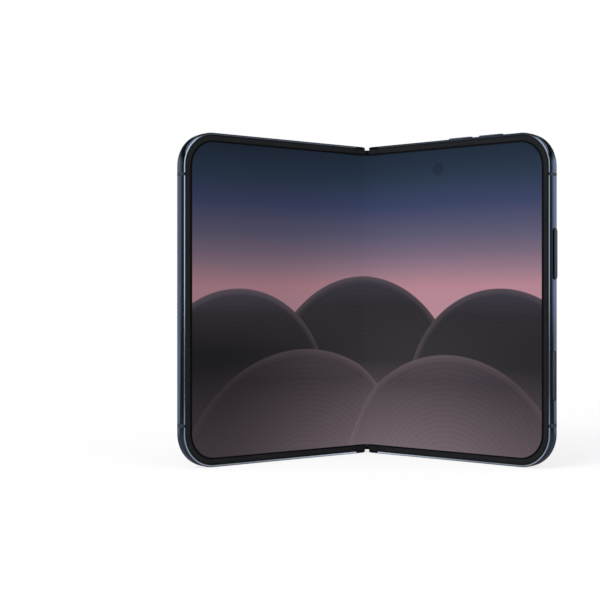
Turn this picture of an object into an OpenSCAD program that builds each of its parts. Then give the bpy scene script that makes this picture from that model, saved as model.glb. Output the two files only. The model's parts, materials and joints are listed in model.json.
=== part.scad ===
// Book-style foldable phone, standing half open on its bottom edges.
// Each half is drawn lying flat, screen up: x runs from the fold line to the free edge,
// y up the phone and z is minus the depth below the screen surround. on_right(), on_left()
// and on_spine() stand the pieces up and turn the halves about their hinge pins.

/* [Body] */
// Height of the phone along the fold
phone_h = 116; // [108:1:140]
// Width of one half, from the fold line to its free edge
half_w = 80.6; // [70:0.1:104]
// Thickness of one half, without its camera plateau
thick = 4.8; // [4.8:0.1:6]
// Corner radius at the free edge
corner_r = 12.1; // [9:0.1:16]
// Side wall of the frame
wall = 1.5; // [1.3:0.1:1.9]
// Width of the bevel along the frame's front outer edge, seen from the front
rim_bevel_w = 0.3; // [0.15:0.05:0.4]
// How far that bevel reaches down the side wall
rim_bevel_depth = 0.45; // [0.2:0.05:0.6]
// Radius of the frame's back outer edge
back_round = 0.8; // [0.4:0.1:1]
// Thickness of the plate across the frame
web_t = 0.4; // [0.3:0.1:0.6]
// Thickness of the lip that covers the spine when flat
lip_t = 0.7; // [0.6:0.1:0.9]
// Width of the metal strip on the hinge side of the back, beyond the hinge wall
lip_strip_over = 0.35; // [0.2:0.05:3]
// Clear width of an antenna gap in the side wall
antenna_w = 1.1; // [0.8:0.1:2]
// Distance of an antenna gap from the top or bottom edge
antenna_in = 15; // [14:0.5:22]

/* [Screen] */
// Width of metal seen outside the screen surround
rim_w = 0.7; // [0.5:0.05:0.8]
// Width of the raised black screen surround
trim_w = 2.05; // [1.6:0.05:3]
// How far the surround stands above the screen
trim_rise = 0.25; // [0.15:0.05:0.4]
// Thickness of the folding display panel
display_t = 0.5; // [0.4:0.05:0.6]
// Thickness of the support plate behind the panel
support_t = 0.25; // [0.15:0.05:0.3]
// Distance from the fold line at which the panel turns flat
bend_start = 4.2; // [4:0.1:5]
// Distance from the fold line at which the surround starts
trim_start = 1.75; // [1.6:0.05:2.5]
// Distance from the fold line to the seam of the hinge end piece
cap_seam = 6.1; // [5.5:0.1:9]
// Radius of the notch corners at the fold
notch_r = 1.2; // [0.6:0.1:1.5]

/* [Back] */
// Thickness of the back glass and of the cover glass
glass_t = 0.6; // [0.5:0.05:0.7]
// Distance from the outer edge to the glass
glass_inset = 1; // [0.9:0.1:1.3]
// Height of the camera plateau above the back
plateau_rise = 2; // [1.5:0.1:2.5]
// Half width of the plateau's flat top
plateau_r = 10.4; // [9.5:0.1:11]
// Width of the plateau's concave foot
plateau_foot = 3; // [2:0.1:3]
// Distance from the top edge to the plateau's centre line
plateau_in = 15.1; // [14.5:0.1:20]
// Gap from the plateau's top to the free edge
plateau_end = 6.8; // [6.5:0.1:7.5]

/* [Cameras] */
// Distance from the free edge to the main camera
main_camera_q = 17.2; // [15:0.1:19]
// Distance from the free edge to the wide camera
wide_camera_q = 35; // [34:0.1:38]
// Outer radius of a camera ring
ring_r = 8.15; // [7.8:0.05:8.4]
// Radius of a camera's cover glass
lens_r = 7.25; // [6.9:0.05:7.3]
// How far a ring stands above the plateau
ring_rise = 1.7; // [1.3:0.1:2.2]
// Side of a camera module's housing
camera_side = 12.5; // [11:0.5:13]
// Radius of a camera module's barrel
barrel_r = 6.2; // [5:0.1:6.4]
// Distance from the free edge to the flash
flash_q = 49.8; // [47:0.1:54]
// Radius of the flash window
flash_r = 1.85; // [1.5:0.05:2.2]
// Distance of flash and rear microphone from the plateau's centre line
flash_off = 4.3; // [3:0.1:5]
// Radius of a microphone hole
mic_hole_r = 0.45; // [0.3:0.05:0.6]
// Distance from the wide camera to the camera under the inner screen
inner_camera_off = 11.9; // [11:0.1:14]
// Distance from the top edge to the camera under the inner screen
inner_camera_in = 10.4; // [9:0.1:12]
// Distance from the top edge to the cover screen's camera
cover_camera_in = 8.5; // [8:0.1:12]

/* [Keys] */
// Clearance around each key in its slot
key_clear = 0.05; // [0.03:0.01:0.1]
// Travel of a key
key_travel = 0.25; // [0.15:0.05:0.3]
// Length of the side key
power_len = 17.6; // [14:0.1:20]
// Height of the side key's centre above mid height
power_at = 15.8; // [12:0.1:18]
// How far the side key stands out
power_proud = 0.6; // [0.2:0.05:0.8]
// Length of the capture key
capture_len = 17; // [12:0.1:18]
// Distance of the capture key's centre below mid height
capture_at = 26; // [20:0.1:28]
// How far the capture key lies below the wall
capture_recess = 0.1; // [0.05:0.05:0.3]
// Width of the side and capture keys
side_key_w = 2.4; // [2:0.1:2.5]
// Length of a volume key
volume_len = 10.1; // [9:0.1:12]
// Distance from the free edge to the gap between the volume keys
volume_gap_q = 32; // [28:0.1:36]
// Gap between the volume keys
volume_gap = 2.8; // [1.8:0.1:3]
// How far a volume key stands out
volume_proud = 0.6; // [0.1:0.05:0.8]
// Width of a volume key
volume_w = 2.1; // [1.8:0.1:2.4]

/* [Hinge] */
// How far each half is turned from flat towards closed
fold_angle = 38.2; // [30:0.1:60]
// Depth of the hinge pins below the screen surround
pivot_depth = 2; // [2:0.05:2.4]
// Half of the gap between the closed halves
closed_gap = 0.1; // [0.05:0.05:0.3]
// Running clearance between the spine and the halves
spine_clear = 0.12; // [0.1:0.01:0.15]
// Wall of the spine
spine_wall = 0.5; // [0.4:0.05:0.55]
// How much shorter the spine is at each end
spine_short = 1; // [0.8:0.1:1.5]
// Radius of the hinge pins
pin_r = 0.5; // [0.4:0.05:0.55]
// Radius of the pins through the synchronising gears
sync_pin_r = 0.28; // [0.2:0.01:0.3]
// Running clearance of the pins
pin_clear = 0.03; // [0.02:0.01:0.06]
// Thickness of the hinge arms
arm_t = 0.5; // [0.4:0.05:0.6]
// Distance of the outer hinge modules from mid height
module_at = 32; // [26:0.5:34]
// Length of an outer hinge arm
arm_len = 6.6; // [5:0.1:8]
// Teeth on each synchronising gear
gear_teeth = 8; // [8]
// Distance from an end of the fixed wing plate to the top or bottom edge
wing_in = 12; // [10:0.5:16]
// Width of the wing plate
wing_w = 8.6; // [7:0.1:10]

/* [Inside] */
// Thickness of the battery behind the cameras' half
battery_t = 2.3; // [1.5:0.05:2.3]
// Thickness of the battery in the cover half
left_battery_t = 2.2; // [1.5:0.05:2.2]
// Gap kept around batteries and boards
loose_gap = 1; // [0.5:0.1:1.2]
// Thickness of the circuit boards
board_t = 0.5; // [0.4:0.1:0.6]
// Height of the boards above the web
board_lift = 0.7; // [0.6:0.05:0.8]
// Height of the board zone at the top of each half, from the top edge down
board_zone = 36; // [34:0.5:40]
// Height of the board zone at the top of the cover half
left_board_zone = 17; // [16:0.5:20]
// Height of the zone of connector and speakers at the bottom
dock_zone = 15; // [14:0.5:18]
// Thickness of the charging coil
coil_t = 0.3; // [0.2:0.05:0.4]
// Outer radius of the charging coil
coil_r = 20; // [16:0.5:22]
// Width of the connector's mouth, outside its shell
usb_w = 8.94; // [8.94]
// Height of the connector's mouth, outside its shell
usb_h = 3.16; // [3.16]
// Length of the connector
usb_len = 7.3; // [6.5:0.1:8]
// Distance between speaker holes
speaker_pitch = 2.1; // [1.8:0.1:2.5]
// Radius of a speaker hole
speaker_hole_r = 0.6; // [0.4:0.05:0.7]
// Thickness of the ribbon that crosses the hinge
ribbon_t = 0.15; // [0.1:0.05:0.15]
// Width of the ribbon that crosses the hinge
ribbon_w = 9; // [6:0.5:10]

/* [Hidden] */
$fn = 64;
cut = 1;      // how far a cutter runs past what it cuts
lap = 0.2;    // how far two shapes of one piece run into each other
slit = 0.05;  // gap between neighbours that don't touch

navy = [0.2, 0.25, 0.33];
navy_glass = [0.23, 0.26, 0.31];
charcoal = [0.13, 0.13, 0.14];
black = [0.04, 0.04, 0.05];
steel = [0.6, 0.61, 0.63];
gold = [0.75, 0.6, 0.3];
board_green = [0.08, 0.25, 0.16];
screen_dusk = [0.3, 0.25, 0.33];

half_h = phone_h / 2;
free_in = half_w - wall;
top_in = half_h - wall;

// Layers of a half, as depths below the screen surround
screen_back = trim_rise + display_t;
web_front = screen_back + support_t;
web_back = web_front + web_t;
glass_front = thick - glass_t;
lip_front = thick - lip_t;
mid_depth = (web_front + glass_front) / 2;
board_front = web_back + board_lift;
board_back = board_front + board_t;
plateau_top = thick + plateau_rise;
plateau_roof = plateau_top - glass_t;

// Hinge
pivot_x = pivot_depth + closed_gap;
spine_r = lip_front - spine_clear - pivot_depth;
gutter_r = spine_r - spine_wall;
flank_clear = 0.17;
hinge_wall_x = pivot_x + spine_r + flank_clear;
hinge_wall_t = 0.6;
lip_strip_w = hinge_wall_x + hinge_wall_t + lip_strip_over;
ledge_w = 0.6;
ledge_t = 0.4;
lip_end = 0.1;
lip_round = 0.35;
flank_front = pivot_depth + 0.15;
spine_half = half_h - spine_short;
spine_cap_t = 1;
knuckle_clear = 0.15;
knuckle_r = min(pivot_depth - web_front - slit, gutter_r - 0.53);
block_front = pivot_depth - knuckle_r;
block_skin = 0.03;
block_floor = pivot_depth + knuckle_r + knuckle_clear;
lug_t = 2;
washer_t = 0.3;
washers = 2;
axial_gap = 0.05;
lug_at = arm_len / 2 + washers * washer_t + 2 * axial_gap;
block_ear = 2.5;
gear_half = 2.5;
sync_arm = 2.4;
sync_lug = gear_half + sync_arm + axial_gap;
gear_pitch_r = pivot_x / 3;
gear_tip = 0.13;
gear_root = 0.18;
journal_r = 0.35;
wing_x = hinge_wall_x + hinge_wall_t + slit;
wing_end = wing_x + wing_w;
wing_half = half_h - wing_in;
wing_screw_s = wing_end - 2.5;
arm_back = web_back + arm_t;
window_clear = 0.3;
wing_screws = [-38.5, -24, -9, 9, 24, 38.5];
screw_r = 0.6;
screw_head_r = 1.1;
screw_head_t = 0.4;
block_screw_r = 0.45;
block_screw_head_r = 0.8;

// Screen
panel_inset = wall + 0.2;
fold_inset = rim_w + trim_w + slit;
trim_foot = panel_inset - 0.1;
seam_w = 0.1;
bend_tangent = folded(bend_start, trim_rise);
bend_r = bend_tangent[0] / sin(fold_angle);
bend_centre = bend_tangent[1] - bend_r * cos(fold_angle);
bend_gap_angle = 0.8;

// Cameras
plateau_y = half_h - plateau_in;
main_x = half_w - main_camera_q;
wide_x = half_w - wide_camera_q;
flash_x = half_w - flash_q;
lens_t = 0.5;
lens_sink = 0.1;
ring_top = plateau_top + ring_rise;
ring_bore = lens_r - 0.35;
spigot_r = ring_bore + 0.6;
module_clear = 0.3;
inner_camera_s = wide_x - inner_camera_off;
inner_camera_y = half_h - inner_camera_in;
inner_camera_side = 6;
inner_barrel_r = 2.2;
cover_camera_x = (lip_strip_w + half_w) / 2;
cover_camera_y = half_h - cover_camera_in;
cover_camera_side = 7;
cover_barrel_r = 2;
cover_panel_t = 0.5;
cover_panel_inset = 2.6;

// Keys
flange_t = 0.5;
flange_over = 0.8;
flange_w = glass_front - web_back - 2 * slit - 0.2;
switch_t = 0.9;
switch_h = 2.2;
switch_gap = key_travel + 0.05;
switch_at = flange_t + slit + switch_gap;
dome_t = 0.3;
dome_r = 0.9;
volume_gap_s = half_w - volume_gap_q;
volume_up_s = volume_gap_s + (volume_gap + volume_len) / 2;
volume_down_s = volume_gap_s - (volume_gap + volume_len) / 2;

// Space inside the halves
pack_x0 = wing_end + loose_gap;
pack_x1 = free_in - switch_at - dome_t - switch_t - loose_gap;
board_y0 = half_h - board_zone;
board_top = top_in - switch_at - dome_t - switch_t - 0.3;
left_board_y0 = half_h - left_board_zone;
dock_y = -half_h + dock_zone;
dock_bottom = -half_h + wall + 0.4;
haptic_len = 14;
speaker_len = 12.5;
speaker_x = pack_x1 - haptic_len - 2.95 - speaker_len / 2;
usb_x = speaker_x - 13.5;
haptic_w = 9;
haptic_t = 2.5;
earpiece_len = 14;
shield_t = 1.2;
ear_slot = [8, 0.9];
magnet_len = 13;
magnet_w = 2.2;
magnet_t = 2.2;
ribbon_y = half_h - 11.5;
ribbon_depth = arm_back + slit;
ribbon_mid = ribbon_depth + ribbon_t / 2;
ribbon_bend_start = 3.6;
ribbon_end = pack_x0 + 1;
ribbon_tangent = folded(ribbon_bend_start, ribbon_mid);
ribbon_r = ribbon_tangent[0] / sin(fold_angle);
ribbon_centre = ribbon_tangent[1] - ribbon_r * cos(fold_angle);
ribbon_steps = 12;

// Middle of the standing phone, front to back
free_front_y = folded(half_w - rim_bevel_w, 0)[1];
lip_back_y = folded(lip_end + lip_round, thick - lip_round)[1] + lip_round;
stand_y = -(free_front_y + lip_back_y) / 2;

// Where a point of the right half, at a distance from the fold line and a depth, is when folded
function folded(s, depth) = [
  pivot_x + (s - pivot_x) * cos(fold_angle) + (depth - pivot_depth) * sin(fold_angle),
  pivot_depth - (s - pivot_x) * sin(fold_angle) + (depth - pivot_depth) * cos(fold_angle)
];

// ---- Placing ----

module on_spine() {
  translate([0, stand_y, half_h]) rotate([90, 0, 0]) children();
}

module on_right() {
  translate([pivot_x, stand_y + pivot_depth, half_h]) rotate([0, 0, -fold_angle])
    translate([-pivot_x, -pivot_depth, 0]) rotate([90, 0, 0]) children();
}

module on_left() {
  mirror([1, 0, 0]) on_right() children();
}

// ---- Shared shapes ----

// A flat outline between two depths
module slab(front, back) {
  translate([0, 0, -back]) linear_extrude(back - front) children();
}

module box(x, y, depth) {
  slab(depth[0], depth[1]) translate([x[0], y[0]]) square([x[1] - x[0], y[1] - y[0]]);
}

module post(at, r, depth) {
  slab(depth[0], depth[1]) translate(at) circle(r);
}

module soft_rect(x, y, r) {
  for (px = [x[0] + r, x[1] - r], py = [y[0] + r, y[1] - r]) translate([px, py]) circle(r);
  translate([x[0] + r, y[0]]) square([x[1] - x[0] - 2 * r, y[1] - y[0]]);
  translate([x[0], y[0] + r]) square([x[1] - x[0], y[1] - y[0] - 2 * r]);
}

module soft_box(x, y, depth, r) {
  slab(depth[0], depth[1]) soft_rect(x, y, r);
}

module pill(len, w) {
  square([len - w, w], center = true);
  for (side = [-1, 1]) translate([side * (len - w) / 2, 0]) circle(w / 2);
}

// A section in x and minus depth, run up the phone
module run_up(y0, y1) {
  translate([0, y1, 0]) rotate([90, 0, 0]) linear_extrude(y1 - y0) children();
}

// A section in y and minus depth, run outwards along x
module run_out(x0, x1) {
  translate([x0, 0, 0]) rotate([90, 0, 90]) linear_extrude(x1 - x0) children();
}

// A half's outline, moved inwards from its outer edge, from a distance to the fold line
module half_outline(inset, start) {
  for (side = [-1, 1])
    translate([half_w - corner_r, side * (half_h - corner_r)]) circle(corner_r - inset);
  translate([start, inset - half_h]) square([half_w - corner_r - start, phone_h - 2 * inset]);
  translate([half_w - corner_r, corner_r - half_h])
    square([corner_r - inset, phone_h - 2 * corner_r]);
}

// A section in outward distance and minus depth, run round the three outer edges
module edge_run(start, stop = half_w - corner_r) {
  for (flip = [0, 1]) mirror([0, flip, 0]) {
    translate([0, half_h - corner_r, 0]) run_out(start, stop) children();
    if (stop == half_w - corner_r)
      translate([stop, half_h - corner_r, 0]) rotate_extrude(angle = 90) children();
  }
  if (stop == half_w - corner_r)
    translate([stop, 0, 0]) run_up(corner_r - half_h, half_h - corner_r) children();
}

// What rounding takes off an outer edge
module round_off(r) {
  difference() {
    square(r + cut);
    circle(r);
  }
}

module band_section() {
  difference() {
    translate([corner_r - wall, -thick]) square([wall, thick]);
    polygon([[corner_r - rim_bevel_w, 0], [corner_r - rim_bevel_w, cut], [corner_r + cut, cut],
      [corner_r + cut, -rim_bevel_depth], [corner_r, -rim_bevel_depth]]);
    translate([corner_r - back_round, back_round - thick]) mirror([0, 1]) round_off(back_round);
    translate([corner_r - wall - cut, -web_front]) square([wall - rim_w + cut, web_front + cut]);
    translate([corner_r - wall - cut, -thick - cut])
      square([wall - glass_inset + cut, glass_t + cut]);
  }
}

module trim_section() {
  translate([corner_r - rim_w - trim_w, -trim_rise]) square([trim_w, trim_rise]);
  translate([corner_r - trim_foot, -web_front]) square([trim_foot - rim_w, web_front - trim_rise / 2]);
}

// What rounds the corners at the fold, seen from the screen side
module notch_corners(start, r) {
  for (flip = [0, 1]) mirror([0, flip]) translate([start + r, half_h - r]) difference() {
    translate([-r - cut, 0]) square([r + cut, r + cut]);
    circle(r);
  }
}

module key_slot(len, w) {
  pill(len + 2 * key_clear, w + 2 * key_clear);
}

// A row of round holes along x, run through the wall at the bottom edge
module bottom_holes(x, count, r) {
  for (i = [0:count - 1])
    translate([x + (i - (count - 1) / 2) * speaker_pitch, 0, -mid_depth]) rotate([90, 0, 0])
      translate([0, 0, half_h - wall - cut]) cylinder(r = r, h = wall + 2 * cut);
}

// Windows in the hinge wall for the arms and the ribbon
module hinge_windows() {
  x = hinge_wall_x - cut;
  wide = hinge_wall_t + wall + cut;
  for (at = arm_spans())
    box([x, x + wide], [at[0] - window_clear, at[1] + window_clear], [web_back, flank_front]);
  box([x, x + wide], ribbon_span(window_clear), [web_back, flank_front + window_clear]);
}

function arm_spans() = [
  [-module_at - arm_len / 2, -module_at + arm_len / 2],
  [-gear_half - sync_arm, -gear_half],
  [gear_half, gear_half + sync_arm],
  [module_at - arm_len / 2, module_at + arm_len / 2]
];
function ribbon_span(extra) = [ribbon_y - ribbon_w / 2 - extra, ribbon_y + ribbon_w / 2 + extra];

// ---- Frame of a half ----

module frame_blank() {
  edge_run(lip_end) band_section();
  slab(web_front, web_back) half_outline(wall - lap, hinge_wall_x);
  ends = [-top_in - lap, top_in + lap];
  box([hinge_wall_x, hinge_wall_x + hinge_wall_t], ends, [web_front, lip_front + lap]);
  box([lip_end, lip_strip_w], ends, [lip_front, thick]);
  box([hinge_wall_x, lip_strip_w + ledge_w], ends, [glass_front - ledge_t, glass_front]);
}

module half_frame() {
  difference() {
    frame_blank();
    // room for the spine between the lip and the front of the rails
    box([-cut, hinge_wall_x], [-half_h - cut, half_h + cut], [web_front, lip_front]);
    box([-cut, trim_start], [-half_h - cut, half_h + cut], [-cut, web_front + slit]);
    slab(-cut, web_front + slit) notch_corners(trim_start, notch_r);
    slab(lip_front - slit, thick + cut) notch_corners(lip_end, notch_r);
    run_up(-half_h - cut, half_h + cut)
      translate([lip_end + lip_round, lip_round - thick]) rotate(180) round_off(lip_round);
    hinge_windows();
    for (y = wing_screws) post([wing_screw_s, y], screw_r, [web_front - cut, web_back + cut]);
    for (side = [-1, 1]) antenna_gap(side, 0);
  }
}

module antenna_gap(side, slack) {
  y = side * (half_h - antenna_in);
  box([free_in - slack, half_w + cut], [y - antenna_w / 2, y + antenna_w / 2], [-cut, thick + cut]);
}

module antenna_bands() {
  color(charcoal) intersection() {
    edge_run(lip_end) band_section();
    for (side = [-1, 1]) antenna_gap(side, 0);
  }
}

module bezel_trim() {
  color(charcoal) edge_run(cap_seam + seam_w) trim_section();
}

module fold_caps() {
  color(charcoal) difference() {
    edge_run(trim_start, cap_seam) trim_section();
    slab(-cut, web_front + cut) notch_corners(trim_start, notch_r);
  }
}

module display_panel() {
  color(screen_dusk) slab(trim_rise, screen_back) half_outline(panel_inset, bend_start);
}

module display_support() {
  color(steel) slab(screen_back, web_front) half_outline(panel_inset, hinge_wall_x);
}

module wing_screw_set() {
  color(steel) for (y = wing_screws) {
    post([wing_screw_s, y], screw_r, [web_front + slit, arm_back]);
    post([wing_screw_s, y], screw_head_r, [arm_back, arm_back + screw_head_t]);
  }
}

// Wing plate fixed to the frame, with the arms that turn on the hinge pins
module hinge_wing() {
  color(steel) difference() {
    union() {
      soft_box([wing_x, wing_end], [-wing_half, wing_half], [web_back, arm_back], 1);
      for (at = arm_spans()) {
        box([pivot_x, wing_x + 2], at, [web_back, arm_back]);
        run_up(at[0], at[1]) translate([pivot_x, -pivot_depth]) circle(knuckle_r);
      }
    }
    for (at = arm_spans()) {
      bore = abs(at[0] + at[1]) / 2 > module_at - arm_len ? pin_r : sync_pin_r;
      run_up(at[0] - cut / 4, at[1] + cut / 4)
        translate([pivot_x, -pivot_depth]) circle(bore + pin_clear);
    }
    for (y = wing_screws) post([wing_screw_s, y], screw_r, [0, thick]);
  }
}

function gear_points(phase) = [
  for (i = [0:gear_teeth - 1], p = [
    [-gear_root, -13], [0, -8.5], [gear_tip, -4], [gear_tip, 4], [0, 8.5], [-gear_root, 13]
  ]) let (a = phase + i * 360 / gear_teeth + p[1]) (gear_pitch_r + p[0]) * [cos(a), sin(a)]
];

module pivot_gear(phase) {
  color(steel) run_up(-gear_half, gear_half) translate([pivot_x, -pivot_depth]) difference() {
    polygon(gear_points(phase));
    circle(sync_pin_r + pin_clear);
  }
}

module idler_gear(x, phase) {
  color(steel) {
    run_up(-gear_half + axial_gap, gear_half - axial_gap)
      translate([x, -pivot_depth]) polygon(gear_points(phase));
    run_up(-sync_lug - lug_t, sync_lug + lug_t) translate([x, -pivot_depth]) circle(journal_r);
  }
}

module battery(y, t) {
  color(black) soft_box([pack_x0, pack_x1], y, [web_back + slit, web_back + slit + t], 2);
}

// One magnet midway between the two side keys, one midway between key and antenna gap
module magnet_pair() {
  above_capture = capture_len / 2 + flange_over - capture_at;
  below_power = power_at - power_len / 2 - flange_over;
  above_power = power_at + power_len / 2 + flange_over;
  below_gap = half_h - antenna_in - antenna_w / 2;
  color(steel) for (mid = [above_capture + below_power, above_power + below_gap] / 2)
    box([free_in - magnet_w - slit, free_in - slit], [mid - magnet_len / 2, mid + magnet_len / 2],
      [web_back, web_back + magnet_t]);
}

// ---- Right half: cameras, keys, connector ----

module right_frame() {
  on_right() color(navy) difference() {
    union() {
      half_frame();
      for (at = board_posts()) post(at, 1.4, [web_front + slit, board_front]);
    }
    run_out(free_in - cut, half_w + cut) {
      translate([power_at, -mid_depth]) key_slot(power_len, side_key_w);
      translate([-capture_at, -mid_depth]) key_slot(capture_len, side_key_w);
    }
    run_up(top_in - cut, half_h + cut) for (s = [volume_up_s, volume_down_s])
      translate([s, -mid_depth]) key_slot(volume_len, volume_w);
    run_up(-half_h - cut, usb_len - half_h + 1)
      translate([usb_x, -mid_depth]) pill(usb_w + 0.06, usb_h + 0.06);
    bottom_holes(speaker_x, 6, speaker_hole_r);
    bottom_holes(usb_x - 12, 2, mic_hole_r);
    post([inner_camera_s, inner_camera_y], inner_barrel_r + module_clear, [0, web_back + cut]);
  }
}

function board_posts() = [
  [pack_x0 + 2.5, board_y0 + 2.5], [pack_x1 - 2.5, board_y0 + 2.5],
  [pack_x1 - 2, board_top - 2], [wide_x - camera_side / 2 - 2.5, board_top - 2],
  [pack_x0 + 2.5, dock_bottom + 3]
];

module right_bezel_trim() { on_right() bezel_trim(); }
module right_fold_caps() { on_right() fold_caps(); }
module right_antenna_bands() { on_right() antenna_bands(); }
module display_right() { on_right() display_panel(); }
module right_hinge_wing() { on_right() hinge_wing(); }
module right_wing_screws() { on_right() wing_screw_set(); }
module right_sync_gear() { on_right() pivot_gear(180 / gear_teeth); }
module right_magnets() { on_right() magnet_pair(); }

module display_support_right() {
  on_right() difference() {
    display_support();
    post([inner_camera_s, inner_camera_y], inner_barrel_r + module_clear, [0, thick]);
  }
}

// Outline of the plateau: its section turned round both ends and run between them
module plateau_run() {
  ends = [lip_strip_w + plateau_foot + 0.3 + plateau_r, half_w - plateau_end - plateau_r];
  translate([0, plateau_y, -thick]) mirror([0, 0, 1]) {
    for (x = ends) translate([x, 0, 0]) rotate_extrude() children();
    for (flip = [0, 1]) mirror([0, flip, 0]) run_out(ends[0], ends[1]) children();
  }
}

module plateau_section() {
  foot_r = (plateau_foot * plateau_foot + plateau_rise * plateau_rise) / (2 * plateau_rise);
  difference() {
    translate([0, -lap]) square([plateau_r + plateau_foot, plateau_rise + lap]);
    translate([plateau_r + plateau_foot, foot_r]) circle(foot_r);
  }
}

module rear_cover() {
  on_right() color(navy_glass) difference() {
    union() {
      slab(glass_front, thick) half_outline(glass_inset, lip_strip_w);
      plateau_run() plateau_section();
    }
    plateau_run() translate([0, -glass_t - cut]) square([plateau_r - glass_t, plateau_rise + cut]);
    for (x = [main_x, wide_x]) post([x, plateau_y], spigot_r, [0, plateau_top + cut]);
    post([flash_x, plateau_y - flash_off], flash_r, [0, plateau_top + cut]);
    post([flash_x, plateau_y + flash_off], mic_hole_r, [0, plateau_top + cut]);
  }
}

module camera_ring(x) {
  on_right() color(navy) translate([x, plateau_y, 0]) difference() {
    union() {
      post([0, 0], ring_r, [plateau_top, ring_top]);
      post([0, 0], spigot_r, [plateau_roof, plateau_top + lap]);
    }
    post([0, 0], ring_bore, [0, ring_top + cut]);
    post([0, 0], lens_r, [ring_top - lens_sink - lens_t, ring_top + cut]);
  }
}

module camera_glass(x) {
  on_right() color(black)
    post([x, plateau_y], lens_r, [ring_top - lens_sink - lens_t, ring_top - lens_sink]);
}

module main_camera_ring() { camera_ring(main_x); }
module main_camera_glass() { camera_glass(main_x); }
module wide_camera_ring() { camera_ring(wide_x); }
module wide_camera_glass() { camera_glass(wide_x); }

module rear_camera_modules() {
  side = camera_side / 2;
  barrel_top = ring_top - lens_sink - lens_t - slit;
  on_right() color(charcoal) for (x = [main_x, wide_x]) translate([x, plateau_y, 0]) difference() {
    union() {
      soft_box([-side, side], [-side, side], [web_back, plateau_roof - 2], 1);
      post([0, 0], barrel_r, [plateau_roof - 2 - lap, barrel_top]);
    }
    post([0, 0], barrel_r - 1, [barrel_top - 0.5, barrel_top + cut]);
    post([0, 0], barrel_r - 2.4, [barrel_top - 1, barrel_top + cut]);
    post([0, 0], barrel_r - 3.8, [barrel_top - 1.6, barrel_top + cut]);
  }
}

module flash_lens() {
  on_right() color([0.85, 0.83, 0.78])
    post([flash_x, plateau_y - flash_off], flash_r, [plateau_roof, plateau_top - slit]);
}

module flash_module() {
  side = 1.6;
  on_right() color(gold) translate([flash_x, plateau_y - flash_off, 0])
    soft_box([-side, side], [-side, side], [board_back, plateau_roof], 0.3);
}

module rear_microphone() {
  on_right() color(steel) translate([flash_x, plateau_y + flash_off, 0])
    soft_box([-1.7, 1.7], [-1.3, 1.3], [plateau_roof - 1, plateau_roof], 0.2);
}

module logic_board() {
  side = camera_side / 2 + module_clear;
  inner = inner_camera_side / 2 + module_clear;
  on_right() color(board_green) slab(board_front, board_back) difference() {
    soft_rect([pack_x0, pack_x1], [board_y0, board_top], 3);
    for (x = [main_x, wide_x])
      translate([x - side, plateau_y - side]) square([2 * side, 2 * side]);
    translate([inner_camera_s - inner, inner_camera_y - inner]) square(2 * inner);
  }
}

module board_shields() {
  lower_top = plateau_y - camera_side / 2 - loose_gap;
  on_right() color(steel) {
    depth = [board_back, board_back + shield_t];
    soft_box([pack_x0 + 1.5, flash_x - 4], [board_y0 + 1.5, board_top - 3], depth, 0.6);
    soft_box([flash_x + 4, pack_x1 - 5], [board_y0 + 1.5, lower_top], depth, 0.6);
  }
}

module right_battery() {
  on_right() battery([dock_y + loose_gap, board_y0 - loose_gap], battery_t);
}

module charging_coil() {
  mid = [(pack_x0 + pack_x1) / 2, (dock_y + board_y0) / 2];
  on_right() color([0.72, 0.45, 0.3]) slab(glass_front - coil_t - slit, glass_front - slit)
    translate(mid) difference() {
      circle(coil_r);
      circle(coil_r / 2);
    }
}

module haptic_motor() {
  x = pack_x1 - haptic_len;
  y = dock_y - loose_gap;
  on_right() color(steel)
    soft_box([x, pack_x1], [y - haptic_w, y], [web_back, web_back + haptic_t], 0.8);
}

module right_speaker() {
  on_right() color(charcoal) soft_box([speaker_x - speaker_len / 2, speaker_x + speaker_len / 2],
    [dock_bottom, dock_y - loose_gap], [web_back, glass_front - 0.2], 1);
}

module usb_port() {
  mouth = usb_len - half_h + 0.2;
  shell = 0.3;
  on_right() color(steel) translate([usb_x, 0, -mid_depth]) {
    difference() {
      run_up(0.2 - half_h, mouth) pill(usb_w, usb_h);
      run_up(-half_h - cut, mouth - 1.2) pill(usb_w - 2 * shell, usb_h - 2 * shell);
    }
    run_up(1.4 - half_h, mouth - 1) square([6.7, 0.7], center = true);
  }
}

module dock_board() {
  side = usb_w / 2 + module_clear;
  on_right() color(board_green) slab(board_front, board_back) difference() {
    soft_rect([pack_x0, speaker_x - speaker_len / 2 - loose_gap], [dock_bottom, dock_y - loose_gap], 1);
    translate([usb_x - side, -half_h]) square([2 * side, usb_len + 1]);
  }
}

module inner_camera_module() {
  side = inner_camera_side / 2;
  on_right() color(black) translate([inner_camera_s, inner_camera_y, 0]) {
    post([0, 0], inner_barrel_r, [screen_back + slit, web_back + lap]);
    soft_box([-side, side], [-side, side], [web_back, web_back + 2.2], 0.6);
  }
}

// A dome switch on a bracket that stands on the web, facing along +x
module key_switch(len) {
  x = -switch_at - dome_t;
  box([x - switch_t, x], [-len / 4, len / 4], [web_back, web_back + switch_h]);
  run_out(-switch_at - dome_t, -switch_at) translate([0, -mid_depth]) circle(dome_r);
}

module key_switches() {
  on_right() color(steel) {
    translate([free_in, power_at, 0]) key_switch(power_len);
    translate([free_in, -capture_at, 0]) key_switch(capture_len);
    for (s = [volume_up_s, volume_down_s])
      translate([s, top_in, 0]) rotate([0, 0, 90]) key_switch(volume_len);
  }
}

// ---- Left half: cover screen ----

module left_frame() {
  on_left() color(navy) difference() {
    union() {
      half_frame();
      for (at = left_board_posts()) post(at, 1.4, [web_front + slit, board_front]);
    }
    bottom_holes(usb_x, 8, speaker_hole_r);
    run_up(top_in - cut, half_h + cut)
      translate([cover_camera_x - 14, -mid_depth]) pill(ear_slot[0], ear_slot[1]);
  }
}

function left_board_posts() = [
  [pack_x0 + 2.5, left_board_y0 + 2.5], [pack_x1 - 2.5, left_board_y0 + 2.5],
  [cover_camera_x + 12, left_board_y0 + 2.5]
];

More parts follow.
